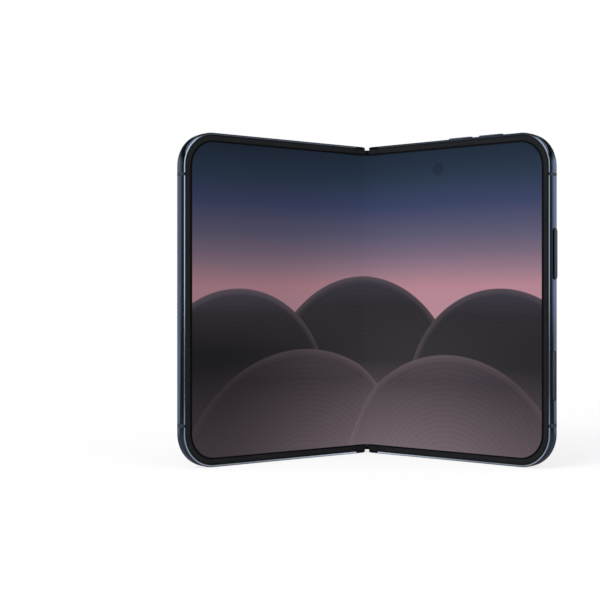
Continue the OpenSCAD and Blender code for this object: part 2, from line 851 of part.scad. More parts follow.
module left_bezel_trim() { on_left() bezel_trim(); }
module left_fold_caps() { on_left() fold_caps(); }
module left_antenna_bands() { on_left() antenna_bands(); }
module display_left() { on_left() display_panel(); }
module display_support_left() { on_left() display_support(); }
module left_hinge_wing() { on_left() hinge_wing(); }
module left_wing_screws() { on_left() wing_screw_set(); }
module left_sync_gear() { on_left() pivot_gear(0); }
module left_magnets() { on_left() magnet_pair(); }

module cover_glass() {
  on_left() color(black) slab(glass_front, thick) half_outline(glass_inset, lip_strip_w);
}

module cover_display() {
  on_left() color(screen_dusk) slab(glass_front - cover_panel_t, glass_front) difference() {
    half_outline(cover_panel_inset, lip_strip_w + cover_panel_inset - glass_inset);
    translate([cover_camera_x, cover_camera_y]) circle(cover_barrel_r + module_clear);
  }
}

module cover_camera_module() {
  side = cover_camera_side / 2;
  on_left() color(black) translate([cover_camera_x, cover_camera_y, 0]) {
    post([0, 0], cover_barrel_r, [web_back + 1, glass_front - slit]);
    soft_box([-side, side], [-side, side], [web_back, glass_front - cover_panel_t - slit], 0.6);
  }
}

module left_battery() {
  on_left() battery([dock_y + loose_gap, left_board_y0 - loose_gap], left_battery_t);
}

module left_board() {
  side = cover_camera_side / 2 + module_clear;
  on_left() color(board_green) slab(board_front, board_back) difference() {
    soft_rect([pack_x0, pack_x1], [left_board_y0, left_board_y0 + 11], 1);
    translate([cover_camera_x - side, cover_camera_y - side]) square([2 * side, 2 * side]);
  }
}

module left_speaker() {
  on_left() color(charcoal) soft_box([usb_x - 11, usb_x + 11], [dock_bottom, dock_y - loose_gap],
    [web_back, glass_front - cover_panel_t - 0.1], 1);
}

module earpiece_speaker() {
  x = cover_camera_x - 14;
  on_left() color(charcoal) soft_box([x - earpiece_len / 2, x + earpiece_len / 2],
    [left_board_y0 + 11.5, top_in - 0.2], [web_back, glass_front - cover_panel_t - 0.1], 0.8);
}

// ---- Hinge ----

// Section of the spine or of what fits in it, in x and minus depth
module spine_section(r) {
  for (side = [-1, 1]) translate([side * pivot_x, -pivot_depth]) circle(r);
  translate([-pivot_x, -pivot_depth - r]) square([2 * pivot_x, 2 * r]);
}

module behind(depth) {
  intersection() {
    children();
    translate([-half_w, -depth - thick]) square([phone_h * 2, thick]);
  }
}

module hinge_spine() {
  on_spine() color(navy) difference() {
    run_up(-spine_half, spine_half) behind(flank_front) difference() {
      spine_section(spine_r);
      spine_section(gutter_r);
    }
    for (y = block_screws())
      post([0, y], block_screw_r, [block_floor, pivot_depth + spine_r - 0.15]);
  }
}

function block_screws() = [
  for (mid = [-module_at, 0, module_at], side = [-1, 1])
    mid + side * ((mid == 0 ? sync_lug : lug_at) + lug_t + block_ear / 2)
];

module spine_end_caps() {
  on_spine() color(black) for (flip = [0, 1]) mirror([0, flip, 0])
    run_up(spine_half - spine_cap_t, spine_half) behind(pivot_depth + 0.6) spine_section(gutter_r);
}

// A block that carries the pins: a floor, two lugs and an ear at each end
module hinge_block(mid, lug, holes) {
  far = lug + lug_t;
  translate([0, mid, 0]) difference() {
    union() {
      run_up(-far - block_ear, far + block_ear) behind(block_floor) spine_section(gutter_r - block_skin);
      for (y = [-far, lug])
        run_up(y, y + lug_t) behind(block_front) spine_section(gutter_r - block_skin);
    }
    run_up(-far - cut, far + cut) for (hole = holes, side = [-1, 1])
      translate([side * hole[0], -pivot_depth]) circle(hole[1]);
    for (y = [-1, 1] * (far + block_ear / 2)) post([0, y], block_screw_r, [0, thick]);
  }
}

module hinge_blocks() {
  on_spine() color(steel) {
    for (mid = [-module_at, module_at]) hinge_block(mid, lug_at, [[pivot_x, pin_r]]);
    hinge_block(0, sync_lug, [[pivot_x, sync_pin_r], [gear_pitch_r, journal_r + pin_clear]]);
  }
}

module hinge_pins() {
  on_spine() color(steel) for (side = [-1, 1]) {
    for (mid = [-module_at, module_at]) run_up(mid - lug_at - lug_t, mid + lug_at + lug_t)
      translate([side * pivot_x, -pivot_depth]) circle(pin_r);
    run_up(-sync_lug - lug_t, sync_lug + lug_t)
      translate([side * pivot_x, -pivot_depth]) circle(sync_pin_r);
  }
}

module friction_washers() {
  middles = [for (mid = [-module_at, module_at], end = [-1, 1], i = [0:washers - 1])
    mid + end * (lug_at - washer_t * (i + 0.5))];
  on_spine() color(gold) for (side = [-1, 1], y = middles)
    run_up(y - washer_t / 2, y + washer_t / 2) translate([side * pivot_x, -pivot_depth])
      difference() {
        circle(knuckle_r);
        circle(pin_r);
      }
}

module hinge_screws() {
  on_spine() color(steel) for (y = block_screws()) {
    post([0, y], block_screw_r, [block_floor - lap, pivot_depth + spine_r - 0.15]);
    post([0, y], block_screw_head_r, [block_floor - 0.5, block_floor]);
  }
}

// Part of a ring about a point on the fold plane, open to both halves
module bend_sector(centre, r0, r1, half_angle) {
  reach = 2 * r1;
  translate([0, -centre]) difference() {
    intersection() {
      circle(r1);
      polygon([[0, 0], reach * [-sin(half_angle), -cos(half_angle)], [0, -reach * 2],
        reach * [sin(half_angle), -cos(half_angle)]]);
    }
    circle(r0);
  }
}

module display_fold() {
  on_spine() color(screen_dusk) run_up(fold_inset - half_h, half_h - fold_inset)
    bend_sector(bend_centre, bend_r, bend_r + display_t, fold_angle - bend_gap_angle);
}

// One face of the ribbon, from its right end through the bend to its left end
function ribbon_side(off) = let (end = folded(ribbon_end, ribbon_mid + off)) concat(
  [[end[0], -end[1]]],
  [for (i = [0:ribbon_steps]) let (a = fold_angle * (1 - 2 * i / ribbon_steps))
    [(ribbon_r + off) * sin(a), -ribbon_centre - (ribbon_r + off) * cos(a)]],
  [[-end[0], -end[1]]]
);

// Ribbon from the logic board, through the spine, to the board in the other half
module hinge_ribbon() {
  y = ribbon_span(0);
  back = ribbon_side(ribbon_t / 2);
  on_spine() color([0.55, 0.35, 0.12]) run_up(y[0], y[1]) polygon(concat(
    ribbon_side(-ribbon_t / 2), [for (i = [len(back) - 1:-1:0]) back[i]]
  ));
}

module idler_gear_right() { on_spine() idler_gear(gear_pitch_r, -fold_angle); }
module idler_gear_left() { on_spine() idler_gear(-gear_pitch_r, 180 / gear_teeth + fold_angle); }

// ---- Keys ----

// A key along +x from the inside of the wall: its cap, and a longer flange behind the wall
module key(len, w, proud) {
  run_out(-slit - lap, wall + proud) translate([0, -mid_depth]) pill(len, w);
  run_out(-slit - flange_t, -slit)
    translate([0, -mid_depth]) square([len + 2 * flange_over, min(w, flange_w)], center = true);
}

module power_button() {
  on_right() color(navy) translate([free_in, power_at, 0]) key(power_len, side_key_w, power_proud);
}

module capture_key() {
  on_right() color(navy)
    translate([free_in, -capture_at, 0]) key(capture_len, side_key_w, -capture_recess);
}

module volume_key(s) {
  on_right() color(navy)
    translate([s, top_in, 0]) rotate([0, 0, 90]) key(volume_len, volume_w, volume_proud);
}

module volume_up_key() { volume_key(volume_up_s); }
module volume_down_key() { volume_key(volume_down_s); }

right_frame();
right_bezel_trim();
right_fold_caps();
right_antenna_bands();
rear_cover();
main_camera_ring();
main_camera_glass();
wide_camera_ring();
wide_camera_glass();
rear_camera_modules();
flash_lens();
flash_module();
rear_microphone();
display_right();
display_support_right();
logic_board();
board_shields();
right_battery();
charging_coil();
haptic_motor();
right_speaker();
usb_port();
dock_board();
inner_camera_module();
key_switches();
right_magnets();
right_hinge_wing();
right_wing_screws();
right_sync_gear();
left_frame();
left_bezel_trim();
left_fold_caps();
left_antenna_bands();
cover_glass();
cover_display();
cover_camera_module();
display_left();
display_support_left();
left_battery();
left_board();
left_speaker();
earpiece_speaker();
left_magnets();
left_hinge_wing();
left_wing_screws();
left_sync_gear();
hinge_spine();
spine_end_caps();
hinge_blocks();
hinge_pins();
friction_washers();
hinge_screws();
display_fold();
hinge_ribbon();
idler_gear_right();
idler_gear_left();
power_button();
capture_key();
volume_up_key();
volume_down_key();
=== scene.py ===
import json
from functools import partial
from math import cos, hypot, pi, radians, sin

import bmesh
import bpy
from bpy.props import FloatProperty, FloatVectorProperty, IntProperty, PointerProperty
from mathutils import Matrix, Vector


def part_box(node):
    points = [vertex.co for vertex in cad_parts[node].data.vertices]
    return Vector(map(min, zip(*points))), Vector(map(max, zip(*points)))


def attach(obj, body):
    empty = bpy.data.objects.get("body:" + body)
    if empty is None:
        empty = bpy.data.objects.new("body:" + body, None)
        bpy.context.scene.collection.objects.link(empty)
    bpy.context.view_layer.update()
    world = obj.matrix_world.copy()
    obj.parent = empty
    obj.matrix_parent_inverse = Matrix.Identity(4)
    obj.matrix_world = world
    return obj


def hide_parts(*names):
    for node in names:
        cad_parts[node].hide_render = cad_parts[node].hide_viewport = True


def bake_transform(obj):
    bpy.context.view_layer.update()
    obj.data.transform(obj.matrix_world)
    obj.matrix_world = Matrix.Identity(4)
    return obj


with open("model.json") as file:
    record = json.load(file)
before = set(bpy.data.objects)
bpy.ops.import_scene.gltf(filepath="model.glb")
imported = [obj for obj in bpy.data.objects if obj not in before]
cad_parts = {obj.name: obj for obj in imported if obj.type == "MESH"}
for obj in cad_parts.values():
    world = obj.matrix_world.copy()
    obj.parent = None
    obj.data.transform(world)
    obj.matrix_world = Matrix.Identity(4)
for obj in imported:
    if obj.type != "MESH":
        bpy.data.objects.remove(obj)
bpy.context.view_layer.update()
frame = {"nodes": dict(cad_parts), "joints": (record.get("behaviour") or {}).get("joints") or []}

bl_info = {
    "name": "Folding Phone Finishes",
    "version": (1, 0, 0),
    "blender": (4, 5, 0),
    "location": "3D View > Sidebar > Phone",
    "description": "Bending screen, surrounds, optics, keys, finishes and stage of a folding phone",
    "category": "Object",
}

NODES = frame["nodes"]
SLOT_OF = {name: node.data.materials[0].name for name, node in NODES.items()}
FOLD_JOINT = next(j for j in frame["joints"] if j["name"] == "right_fold")

MM = 0.001
FOLD = radians(FOLD_JOINT["range_deg"][1])
STRAIGHT = (sin(FOLD), cos(FOLD))  # the way back, square to the right half
SIDES = {1: "right", -1: "left"}
PIN_X, PIN_Y, MID_Z = (c / MM for c in FOLD_JOINT["pos_m"])
PIN_DEPTH = 2.0
FRONT_Y = PIN_Y - PIN_DEPTH  # where the front rims meet at the fold

# A half lying flat, in millimetres: distance from the fold line, height above the middle of
# the phone, and depth below the front rim.
HALF_W = 80.6
HALF_H = 58.0
CORNER_R = 12.1
THICK = 4.8
WALL = 1.5
MID_DEPTH = 2.6
GLASS_FRONT = 4.2
GLASS_INSET = 1.0
LIP_STRIP = 5.2
SCREEN_FRONT = 0.25
SCREEN_T = 0.5
WEB_FRONT = 1.0
WEB_BACK = 1.4
RIM_W = 0.7
RIM_CUT = 0.45
RIM_LINE = 0.02
RIM_BLUR = 0.05
RIM_TOP_FROM, RIM_TOP_TO = HALF_H - 3.6, HALF_H - 1.2
CROWN_START = 2.65
CROWN_RATE = 130.0
TRIM_W = 2.05
TRIM_INNER = RIM_W + TRIM_W
TRIM_FOOT = 1.6
TRIM_START = 1.75
CAP_SEAM = 6.1
SEAM_W = 0.3
NOTCH_R = 1.2
PANEL_INSET = 1.7
BEND_START = 4.2
BEND_STEPS = 14
BEND_HALF_H = 55.2
PLATEAU_TOP = 6.8
PLATEAU_ROOF = 6.2
PLATEAU_Y = 42.9
DECK_FOOT = THICK + 1.2
RING_TOP = 8.5
RING_R = 8.15
SPIGOT_R = 7.5
RING_BORE = 6.9
LENS_R = 7.25
LENS_T = 0.5
LENS_SINK = 0.1
CAMERA_S = {"main": 63.4, "wide": 45.6}
CAMERA_W = 12.5
BARREL_R = 6.2
LENS_SEAT = 6.55
FLASH_S, FLASH_Y, FLASH_R = 30.8, 38.6, 1.85
INNER_CAMERA = (33.7, 47.6)
COVER_CAMERA = (42.9, 49.5)
COVER_HOLE_R = 1.9
COVER_LENS_R = 0.85
COVER_ROUND = 0.28
USB_S, USB_W, USB_H, USB_LEN = 39.35, 8.94, 3.16, 7.3
USB_IN, USB_SHELL = 0.2, 0.3
TONGUE_W, TONGUE_T = 6.7, 0.7
CONTACTS, CONTACT_PITCH = 12, 0.5
RIBBON_FRONT, RIBBON_T = 1.95, 0.15
RIBBON_LOW, RIBBON_HIGH = 42.0, 51.0
RIBBON_BEND, RIBBON_STEPS = 3.6, 12
# Each key's place along its wall, length and width, and how far it stands proud of the wall.
SIDE_KEYS = {"power_button": (15.8, 17.6, 2.4, 0.6), "capture_key": (-26.0, 17.0, 2.4, -0.1)}
TOP_KEYS = {"volume_up_key": (55.05, 10.1, 2.1, 0.6), "volume_down_key": (42.15, 10.1, 2.1, 0.6)}
KEY_FLANGE_OVER = 0.8
KEY_FLANGE_T = 0.5
KEY_FLANGE_R = 0.4
SLIT = 0.05

# The setting that holds a shader node's mode.
MODE_OF = {"Math": "operation", "VectorMath": "operation", "Mix": "data_type",
           "MapRange": "interpolation_type", "VectorRotate": "rotation_type"}

# Points nearer than this are one, in mm on a half and in metres on a bending sheet. A point on
# the axis of a turned piece is a ring smaller than that.
WELD = 1e-4
AXIS_R = 1e-5

SCREEN_MAP = "screen_mm"
# The screen's sky, from the panel's middle up to SKY_TOP. In front of it lie discs, from the far
# one to the near one, each with its place across and up, its radius and its tones, and rings at
# an even spacing. All are in millimetres.
SKY_TOP = 56.0
SKY = {0.0: "#96707a", 0.09: "#956d76", 0.21: "#78606d", 0.31: "#615364", 0.43: "#4a475c",
       0.62: "#2e3551", 0.8: "#1e2b3c", 1.0: "#121d2a"}
DARK_DISC = {0.0: "#3a3640", 0.12: "#2c292e", 0.35: "#302d31", 0.6: "#5a4f56", 1.0: "#75676e"}
PALE_DISC = {0.0: "#4a4148", 0.1: "#443b42", 0.35: "#6c5f66", 0.7: "#85767d", 1.0: "#85767d"}
DISCS = [(-2.0, -36.0, 45.0, DARK_DISC), (-58.0, -34.0, 38.0, DARK_DISC),
         (60.0, -36.0, 40.0, DARK_DISC), (-30.0, -72.0, 54.0, PALE_DISC),
         (38.0, -70.0, 50.0, PALE_DISC)]
DISC_EDGE = "#a08a92"
DISC_RINGS = 1.9
# Where the picture's light falls, and how far it reaches to the left and to the right.
LIGHT_X, LIGHT_LEFT, LIGHT_RIGHT = 24.0, 98.0, 62.0


def linear(hex_colour):
    """An sRGB hex colour as linear RGBA."""
    parts = [int(hex_colour[i:i + 2], 16) / 255 for i in (1, 3, 5)]
    return tuple(c / 12.92 if c <= 0.04045 else ((c + 0.055) / 1.055) ** 2.4
                 for c in parts) + (1.0,)


def tone(colour):
    """Linear RGBA of an sRGB hex colour, or of one of the user's colours by its name."""
    if colour.startswith("#"):
        return linear(colour)
    return getattr(bpy.context.scene.phone_colours, colour)


def per_mm(size):
    """The texture scale at which a pattern's features are that many millimetres, in metres."""
    return 1 / (size * MM)


def add(tree, kind, inputs=(), stops=None, **settings):
    """Adds a shader node, its kind followed by its mode if it has one, with its settings, what
    its sockets take, by order or by name, and its ramp's tones by place."""
    kind, _, mode = kind.partition(".")
    node = tree.nodes.new("ShaderNode" + kind)
    if mode:
        settings[MODE_OF[kind]] = mode
    for name, value in settings.items():
        setattr(node, name, value)
    used = [s for s in node.inputs if s.enabled]
    for key, value in inputs.items() if isinstance(inputs, dict) else enumerate(inputs):
        socket = used[key] if isinstance(key, int) else next(s for s in used if s.name == key)
        if isinstance(value, bpy.types.Node):
            value = next(s for s in value.outputs if s.enabled)
        if isinstance(value, bpy.types.NodeSocket):
            tree.links.new(value, socket)
        elif value is not None:
            socket.default_value = value
    if stops:
        ramp = node.color_ramp.elements
        while len(ramp) < len(stops):
            ramp.new(0.5)
        for element, (place, colour) in zip(ramp, stops.items()):
            element.position = place
            element.color = tone(colour)
    return node


def material(name):
    """The material of that name, built once from its finish, which gives a shader node or what
    the principled shader takes, with its bump as (strength, depth in mm, height)."""
    found = bpy.data.materials.get(name)
    if found is None:
        found = bpy.data.materials.new(name)
        found.use_nodes = True
        found.node_tree.nodes.clear()
        node = partial(add, found.node_tree)
        shader = FINISHES[name](node, node("TexCoord").outputs["Object"])
        if isinstance(shader, dict):
            if "Bump" in shader:
                strength, depth, height = shader.pop("Bump")
                shader["Normal"] = node("Bump", {
                    "Strength": strength, "Distance": depth * MM, "Height": height})
            shader = node("BsdfPrincipled", shader)
        node("OutputMaterial", [shader])
    return found


# ---- Shapes, in a half's own millimetres: x out from the fold, y up, z towards the viewer ----

def half_place(side):
    """Takes a half's flat millimetres to where that half stands in the row frame."""
    turn = Matrix(((cos(FOLD), 0, -sin(FOLD)), (-sin(FOLD), 0, -cos(FOLD)), (0, 1, 0)))
    place = (Matrix.Translation(Vector((PIN_X, PIN_Y, MID_Z)) * MM) @ turn.to_4x4()
             @ Matrix.Scale(MM, 4) @ Matrix.Translation((-PIN_X, 0, PIN_DEPTH)))
    return place if side > 0 else Matrix.Scale(-1, 4, (1, 0, 0)) @ place


def skin(bm, rows, around=False, closed=False, ends=True, mark=0):
    """Faces between rows of points. around joins each row's ends, closed joins last row to first,
    ends closes what stays open and mark is the finish."""
    grid = [[bm.verts.new(p) for p in row] for row in rows]
    count = len(grid[0])
    for a, b in zip(grid, grid[1:] + grid[:1] if closed else grid[1:]):
        for i in range(count if around else count - 1):
            j = (i + 1) % count
            bm.faces.new((a[i], a[j], b[j], b[i])).material_index = mark
    if ends and closed and not around:
        for i in (0, -1):
            bm.faces.new([row[i] for row in grid]).material_index = mark
    if ends and around and not closed:
        for row in (grid[0], grid[-1]):
            bm.faces.new(row).material_index = mark
    return grid


def placed(name, data):
    """An object of that data, in the scene."""
    made = bpy.data.objects.new(name, data)
    bpy.context.scene.collection.objects.link(made)
    return made


def shaped(name, bm, finishes):
    """A mesh object of what bm holds, with its finishes."""
    mesh = bpy.data.meshes.new(name)
    bm.to_mesh(mesh)
    bm.free()
    for finish in finishes:
        mesh.materials.append(material(finish))
    return placed(name, mesh)


def piece(name, bm, side, finishes, replaces=(), body=None, crease=35):
    """Makes a mesh object of what bm holds and in place of nodes. It rides on its
    half or on a body of its own. Side 0 is a sheet in the row frame, which bends instead. Edges
    that turn by more than crease, in degrees, stay sharp."""
    bmesh.ops.remove_doubles(bm, verts=bm.verts, dist=WELD)
    if side:
        bmesh.ops.transform(bm, matrix=half_place(side), verts=bm.verts)
    bmesh.ops.recalc_face_normals(bm, faces=bm.faces)
    made = shaped(name, bm, finishes)
    made.data.shade_smooth()
    made.data.set_sharp_from_angle(angle=radians(crease))
    if side:
        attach(made, body or f"{SIDES[side]}_half")
    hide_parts(*replaces)
    return made


def quarter(steps):
    """The angles of a quarter turn, in that many steps."""
    return [pi / 2 * i / steps for i in range(steps + 1)]


def arc(centre, r, start, end, steps):
    """Points on an arc, its angles in degrees."""
    turns = [radians(start + (end - start) * i / steps) for i in range(steps + 1)]
    return [(centre[0] + r * cos(t), centre[1] + r * sin(t)) for t in turns]


def circle(r, steps=96):
    """Points round a circle."""
    return arc((0, 0), r, 0, 360 - 360 / steps, steps - 1)


def edge_path(inset, start, steps=28):
    """Points round a half's three outer edges, moved in by inset, as far as start from the fold."""
    x, y = HALF_W - CORNER_R, HALF_H - CORNER_R
    r = CORNER_R - inset
    return ([(start, inset - HALF_H)] + arc((x, -y), r, -90, 0, steps)
            + arc((x, y), r, 0, 90, steps) + [(start, HALF_H - inset)])


def pill(length, width, inset=0.0, steps=10):
    """A pill-shaped outline along x, moved in by inset."""
    r = width / 2 - inset
    x = (length - width) / 2
    return arc((x, 0), r, -90, 90, steps) + arc((-x, 0), r, 90, 270, steps)


def block(width, height, r, inset=0.0, steps=5):
    """A rectangle with round corners, moved in by inset."""
    r = max(r - inset, 0.01)
    x, y = width / 2 - inset - r, height / 2 - inset - r
    return [p for i, centre in enumerate(((x, y), (-x, y), (-x, -y), (x, -y)))
            for p in arc(centre, r, 90 * i, 90 * i + 90, steps)]


def stack(levels, outline, at=(0, 0)):
    """Rows of points: the outline for each level's size, round at and at the level's depth."""
    return [[(at[0] + x, at[1] + y, -depth) for x, y in outline(size)] for size, depth in levels]


def turned(bm, at, profile, steps=96, closed=False):
    """Turns a profile of (radius, depth) points round an axis that runs through the half."""
    skin(bm, stack([(max(r, AXIS_R), depth) for r, depth in profile],
                   lambda r: circle(r, steps), at), around=True, closed=closed)


def dome(r, foot, rise, steps):
    """The profile of a lens, from its rim's depth out to its crown."""
    return [(r * sin(t), foot + rise * cos(t)) for t in quarter(steps)]


def camera_body(bm, at, width, r, cut, back):
    """A camera's square body, from the web to a depth, with its end edges cut."""
    skin(bm, stack(((cut, WEB_BACK), (0.0, WEB_BACK + cut), (0.0, back - cut), (cut, back)),
                   lambda inset: block(width, width, r, inset), at), around=True)


def rounded(corners, r, steps=4):
    """A polyline of (a, b) points with its inner corners rounded off by r."""
    points = [corners[0]]
    for before, corner, after in zip(corners, corners[1:], corners[2:]):
        p, q, s = Vector(before), Vector(corner), Vector(after)
        reach = min(r, (p - q).length / 2, (s - q).length / 2)
        a, b = q + (p - q).normalized() * reach, q + (s - q).normalized() * reach
        for i in range(steps + 1):
            t = i / steps
            points.append(tuple(a * (1 - t) ** 2 + q * 2 * t * (1 - t) + b * t ** 2))
    return points + [corners[-1]]


# ---- Bending sheets, in the row frame ----

def folded(s, depth):
    """Where a point of the right half stands, across and back from the fold, in millimetres."""
    return (PIN_X + (s - PIN_X) * cos(FOLD) + (depth - PIN_DEPTH) * sin(FOLD),
            PIN_DEPTH - (s - PIN_X) * sin(FOLD) + (depth - PIN_DEPTH) * cos(FOLD))


def in_row(x, back, up):
    """A point given across, back from the front rims' fold line and up, in metres."""
    return Vector((x, back + FRONT_Y, up + MID_Z)) * MM


def bending_columns(depth, start, steps):
    """Points over a bend, from the fold line to where it runs straight: place and way back."""
    x, back = folded(start, depth)
    r = x / sin(FOLD)
    turns = [FOLD * i / steps for i in range(steps + 1)]
    return [((r * sin(t), back + r * (cos(t) - cos(FOLD))), (sin(t), cos(t))) for t in turns]


def sheet_row(side, column, low, high, thick):
    """The corners of a bending sheet's section at a column."""
    (x, back), (out, away) = column
    return [in_row(side * (x + out * t), back + away * t, up)
            for up, t in ((low, 0.0), (high, 0.0), (high, thick), (low, thick))]


def bend(made):
    """Blends a sheet from the spine to its half, between two columns."""
    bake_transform(made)


# ---- Finishes. Each takes the function that adds a node to its tree, and a point's place ----

PLAIN, METAL, DULL = {}, {"Metallic": 1.0}, {"Specular IOR Level": 0.1}
FULL = (0.0, 1.0)


def flat_metres(node, place, side):
    """A place with that half turned flat: x out, y back and z up, in metres."""
    pin = tuple(Vector((side * PIN_X, PIN_Y, MID_Z)) * MM)
    flat = node("VectorRotate.Z_AXIS", {"Vector": place, "Center": pin, "Angle": side * FOLD})
    return node("SeparateXYZ", [flat]).outputs


def flat_plane(node, place, side):
    """A place on that half as its flat face shows it: x out and y up, in metres."""
    flat = flat_metres(node, place, side)
    return node("CombineXYZ", [flat["X"], flat["Z"], 0.0])


def off_axis(node, place, middle, side):
    """How far a place lies from the line through middle that stands square to a half."""
    arm = node("VectorMath.SUBTRACT", [place, tuple(middle)])
    across = node("VectorMath.CROSS_PRODUCT", [arm, (side * STRAIGHT[0], STRAIGHT[1], 0.0)])
    return node("VectorMath.LENGTH", [across])


def waves(node, along, spacing):
    """A sine that repeats at a spacing, in the unit of the length it runs along."""
    turn = node("Math.MULTIPLY", [along, 2 * pi / spacing])
    return node("Math.SINE", [turn])


def grained(grain, tones, gloss, looks=PLAIN, ends=(0.3, 0.7), patches=None, stretch=None,
            bump=None):
    """A finish with one grain, given by its size in mm, detail, roughness and, where it flows,
    lacunarity and distortion. The grain or larger patches lead from one tone to the other between
    the ends, and the grain leads from one roughness to the other. Stretch draws the grain out, and
    bump is its strength and depth in mm."""
    def finish(node, place):
        if stretch:
            place = node("VectorMath.MULTIPLY", [place, stretch])
        fine = node("TexNoise", [place, per_mm(grain[0]), *grain[1:]])
        slow = fine
        if patches:
            slow = node("TexNoise", [place, per_mm(patches[0]), *patches[1:]])
        shader = {"Base Color": node("ValToRGB", [slow], stops=dict(zip(ends, tones))),
                  "Roughness": node("MapRange", [fine, 0.3, 0.7, *gloss]), **looks}
        return {**shader, "Bump": (*bump, fine)} if bump else shader
    return finish


def anodised_frame(node, place):
    """Aluminium, milled, polished and anodised deep blue, its front rim cut bright: a clean mirror
    with a faint haze, and slow changes of tone where the dye took more or less."""
    shade = node("TexNoise", [place, per_mm(14), 2.0, 0.5])
    haze = node("TexNoise", [place, per_mm(0.5), 3.0, 0.6])
    dyed = node("Mix.RGBA", [shade, tone("frame_dark"), tone("frame_light")])
    rough = node("MapRange", [haze, 0.3, 0.7, 0.1, 0.15])
    # Both frames are turned flat as the right one is, by how far they lie from the middle.
    part = node("SeparateXYZ", [place]).outputs
    across = node("Math.ABSOLUTE", [part["X"]])
    flat = flat_metres(node, node("CombineXYZ", [across, part["Y"], part["Z"]]), 1)
    depth = node("Math.SUBTRACT", [flat["Y"], FRONT_Y * MM])
    rim = node("MapRange", [depth, RIM_LINE * MM, (RIM_LINE + RIM_BLUR) * MM, 1.0, 0.0])
    # The cut is finer along the top, and shows darker there.
    top = node("MapRange", [
        part["Z"], (MID_Z + RIM_TOP_FROM) * MM, (MID_Z + RIM_TOP_TO) * MM, 0.0, 1.0])
    cut = node("Mix.RGBA", [top, tone("rim"), tone("rim_top")])
    # Along the end pieces beside the fold the cut is a dark slot.
    clear = node("MapRange", [flat["X"], CAP_SEAM * MM, (CAP_SEAM + 0.1) * MM, 0.0, 1.0])
    cut = node("Mix.RGBA", [clear, tone("rim_slot"), cut])
    base = node("Mix.RGBA", [rim, dyed, cut])
    # Polishing rounds the walls from where they run straight towards the cut rim.
    wall = node("Math.MAXIMUM", [depth, RIM_CUT * MM])
    short = node("Math.SUBTRACT", [CROWN_START * MM, wall])
    short = node("Math.MAXIMUM", [short, 0.0])
    square = node("Math.POWER", [short, 2.0])
    crown = node("Math.MULTIPLY", [square, -CROWN_RATE])
    # The crown is in metres already, so its bump is a whole metre deep.
    return {"Base Color": base, "Metallic": 1.0, "Roughness": rough,
            "Bump": (1.0, 1 / MM, crown)}


def etched_back_glass(node, place):
    """Aluminosilicate glass, acid-etched over a blue lacquer: a broad satin sheen, and smoother
    and darker on the raised camera deck."""
    flat = flat_metres(node, place, 1)
    deck = node("MapRange.SMOOTHSTEP", [
        flat["Y"], (FRONT_Y + DECK_FOOT) * MM, (FRONT_Y + PLATEAU_TOP - 0.1) * MM, 0.0, 1.0])
    etch = node("TexNoise", [place, per_mm(0.12), 2.0, 0.6])
    lacquer = node("TexNoise", [place, per_mm(26), 2.0, 0.4])
    tint = node("Mix.RGBA", [lacquer, tone("back_dark"), tone("back_light")])
    base = node("Mix.RGBA", [deck, tint, tone("deck")])
    satin = node("MapRange", [etch, 0.3, 0.7, 0.3, 0.38])
    rough = node("Mix.FLOAT", [deck, satin, 0.12])
    return {"Base Color": base, "Metallic": 0.35, "Roughness": rough, "Specular IOR Level": 0.12,
            "Bump": (0.08, 0.01, etch)}


def coated_lens(side, at, tones, radius=None):
    """Optical glass, ground and vacuum-coated: near black, with a tint that turns outwards. The
    radius is a rear lens's unless it is given."""
    def finish(node, place):
        rim = radius * MM if radius else bpy.context.scene.phone_sizes.lens_r
        reach = off_axis(node, place, half_place(side) @ Vector((*at, 0)), side)
        share = node("MapRange", [reach, 0.0, rim, 0.0, 1.0])
        base = node("ValToRGB", [share], stops=tones)
        smear = node("TexNoise", [place, per_mm(1.2), 2.0, 0.5])
        rough = node("MapRange", [smear, 0.3, 0.7, 0.02, 0.05])
        return {"Base Color": base, "Roughness": rough, "IOR": 1.45, "Specular IOR Level": 0.25,
                "Coat Weight": 0.1, "Coat Roughness": 0.02}
    return finish


def ribbed_diffuser(node, place):
    """Polycarbonate, moulded with a lens ribbing over a phosphor: warm grey, with bright specks."""
    cells = node("TexVoronoi", [place, per_mm(0.28)])
    base = node("ValToRGB", [cells], stops={0.1: "#8b857c", 0.6: "#5b5650"})
    return {"Base Color": base, "Roughness": 0.22, "Bump": (0.6, 0.04, cells)}


def circuit_board(side):
    """Glass-epoxy board, solder-masked deep green: its tracks show lighter, its pads show gold."""
    def finish(node, place):
        plane = flat_plane(node, place, side)
        tracks = node("TexBrick", {
            "Vector": plane, "Color1": linear("#0f3325"), "Color2": linear("#0c2a20"),
            "Mortar": linear("#1d5a3e"), "Scale": per_mm(1), "Mortar Size": 0.12,
            "Brick Width": 4.2, "Row Height": 0.9})
        pads = node("TexVoronoi", [plane, per_mm(1.6)])
        gold = node("Math.LESS_THAN", [pads, 0.16])
        base = node("Mix.RGBA", [gold, tracks, linear("#c9a75c")])
        return {"Base Color": base, "Metallic": gold, "Roughness": 0.38,
                "Bump": (0.4, 0.03, tracks.outputs["Fac"])}
    return finish


def shield_plate(node, place):
    """Nickel silver, stamped and perforated in rows 1.2 mm apart: dull grey with dark dots."""
    holes = node("TexVoronoi", {
        "Vector": flat_plane(node, place, 1), "Scale": per_mm(1.2), "Randomness": 0.0})
    hole = node("Math.LESS_THAN", [holes, 0.2])
    wear = node("TexNoise", [place, per_mm(3), 3.0, 0.6])
    sheet = node("ValToRGB", [wear], stops={0.3: "#8a8b8c", 0.7: "#a3a3a1"})
    base = node("Mix.RGBA", [hole, sheet, linear("#2a2b2d")])
    rough = node("MapRange", [wear, 0.3, 0.7, 0.3, 0.42])
    return {"Base Color": base, "Metallic": 0.9, "Roughness": rough}


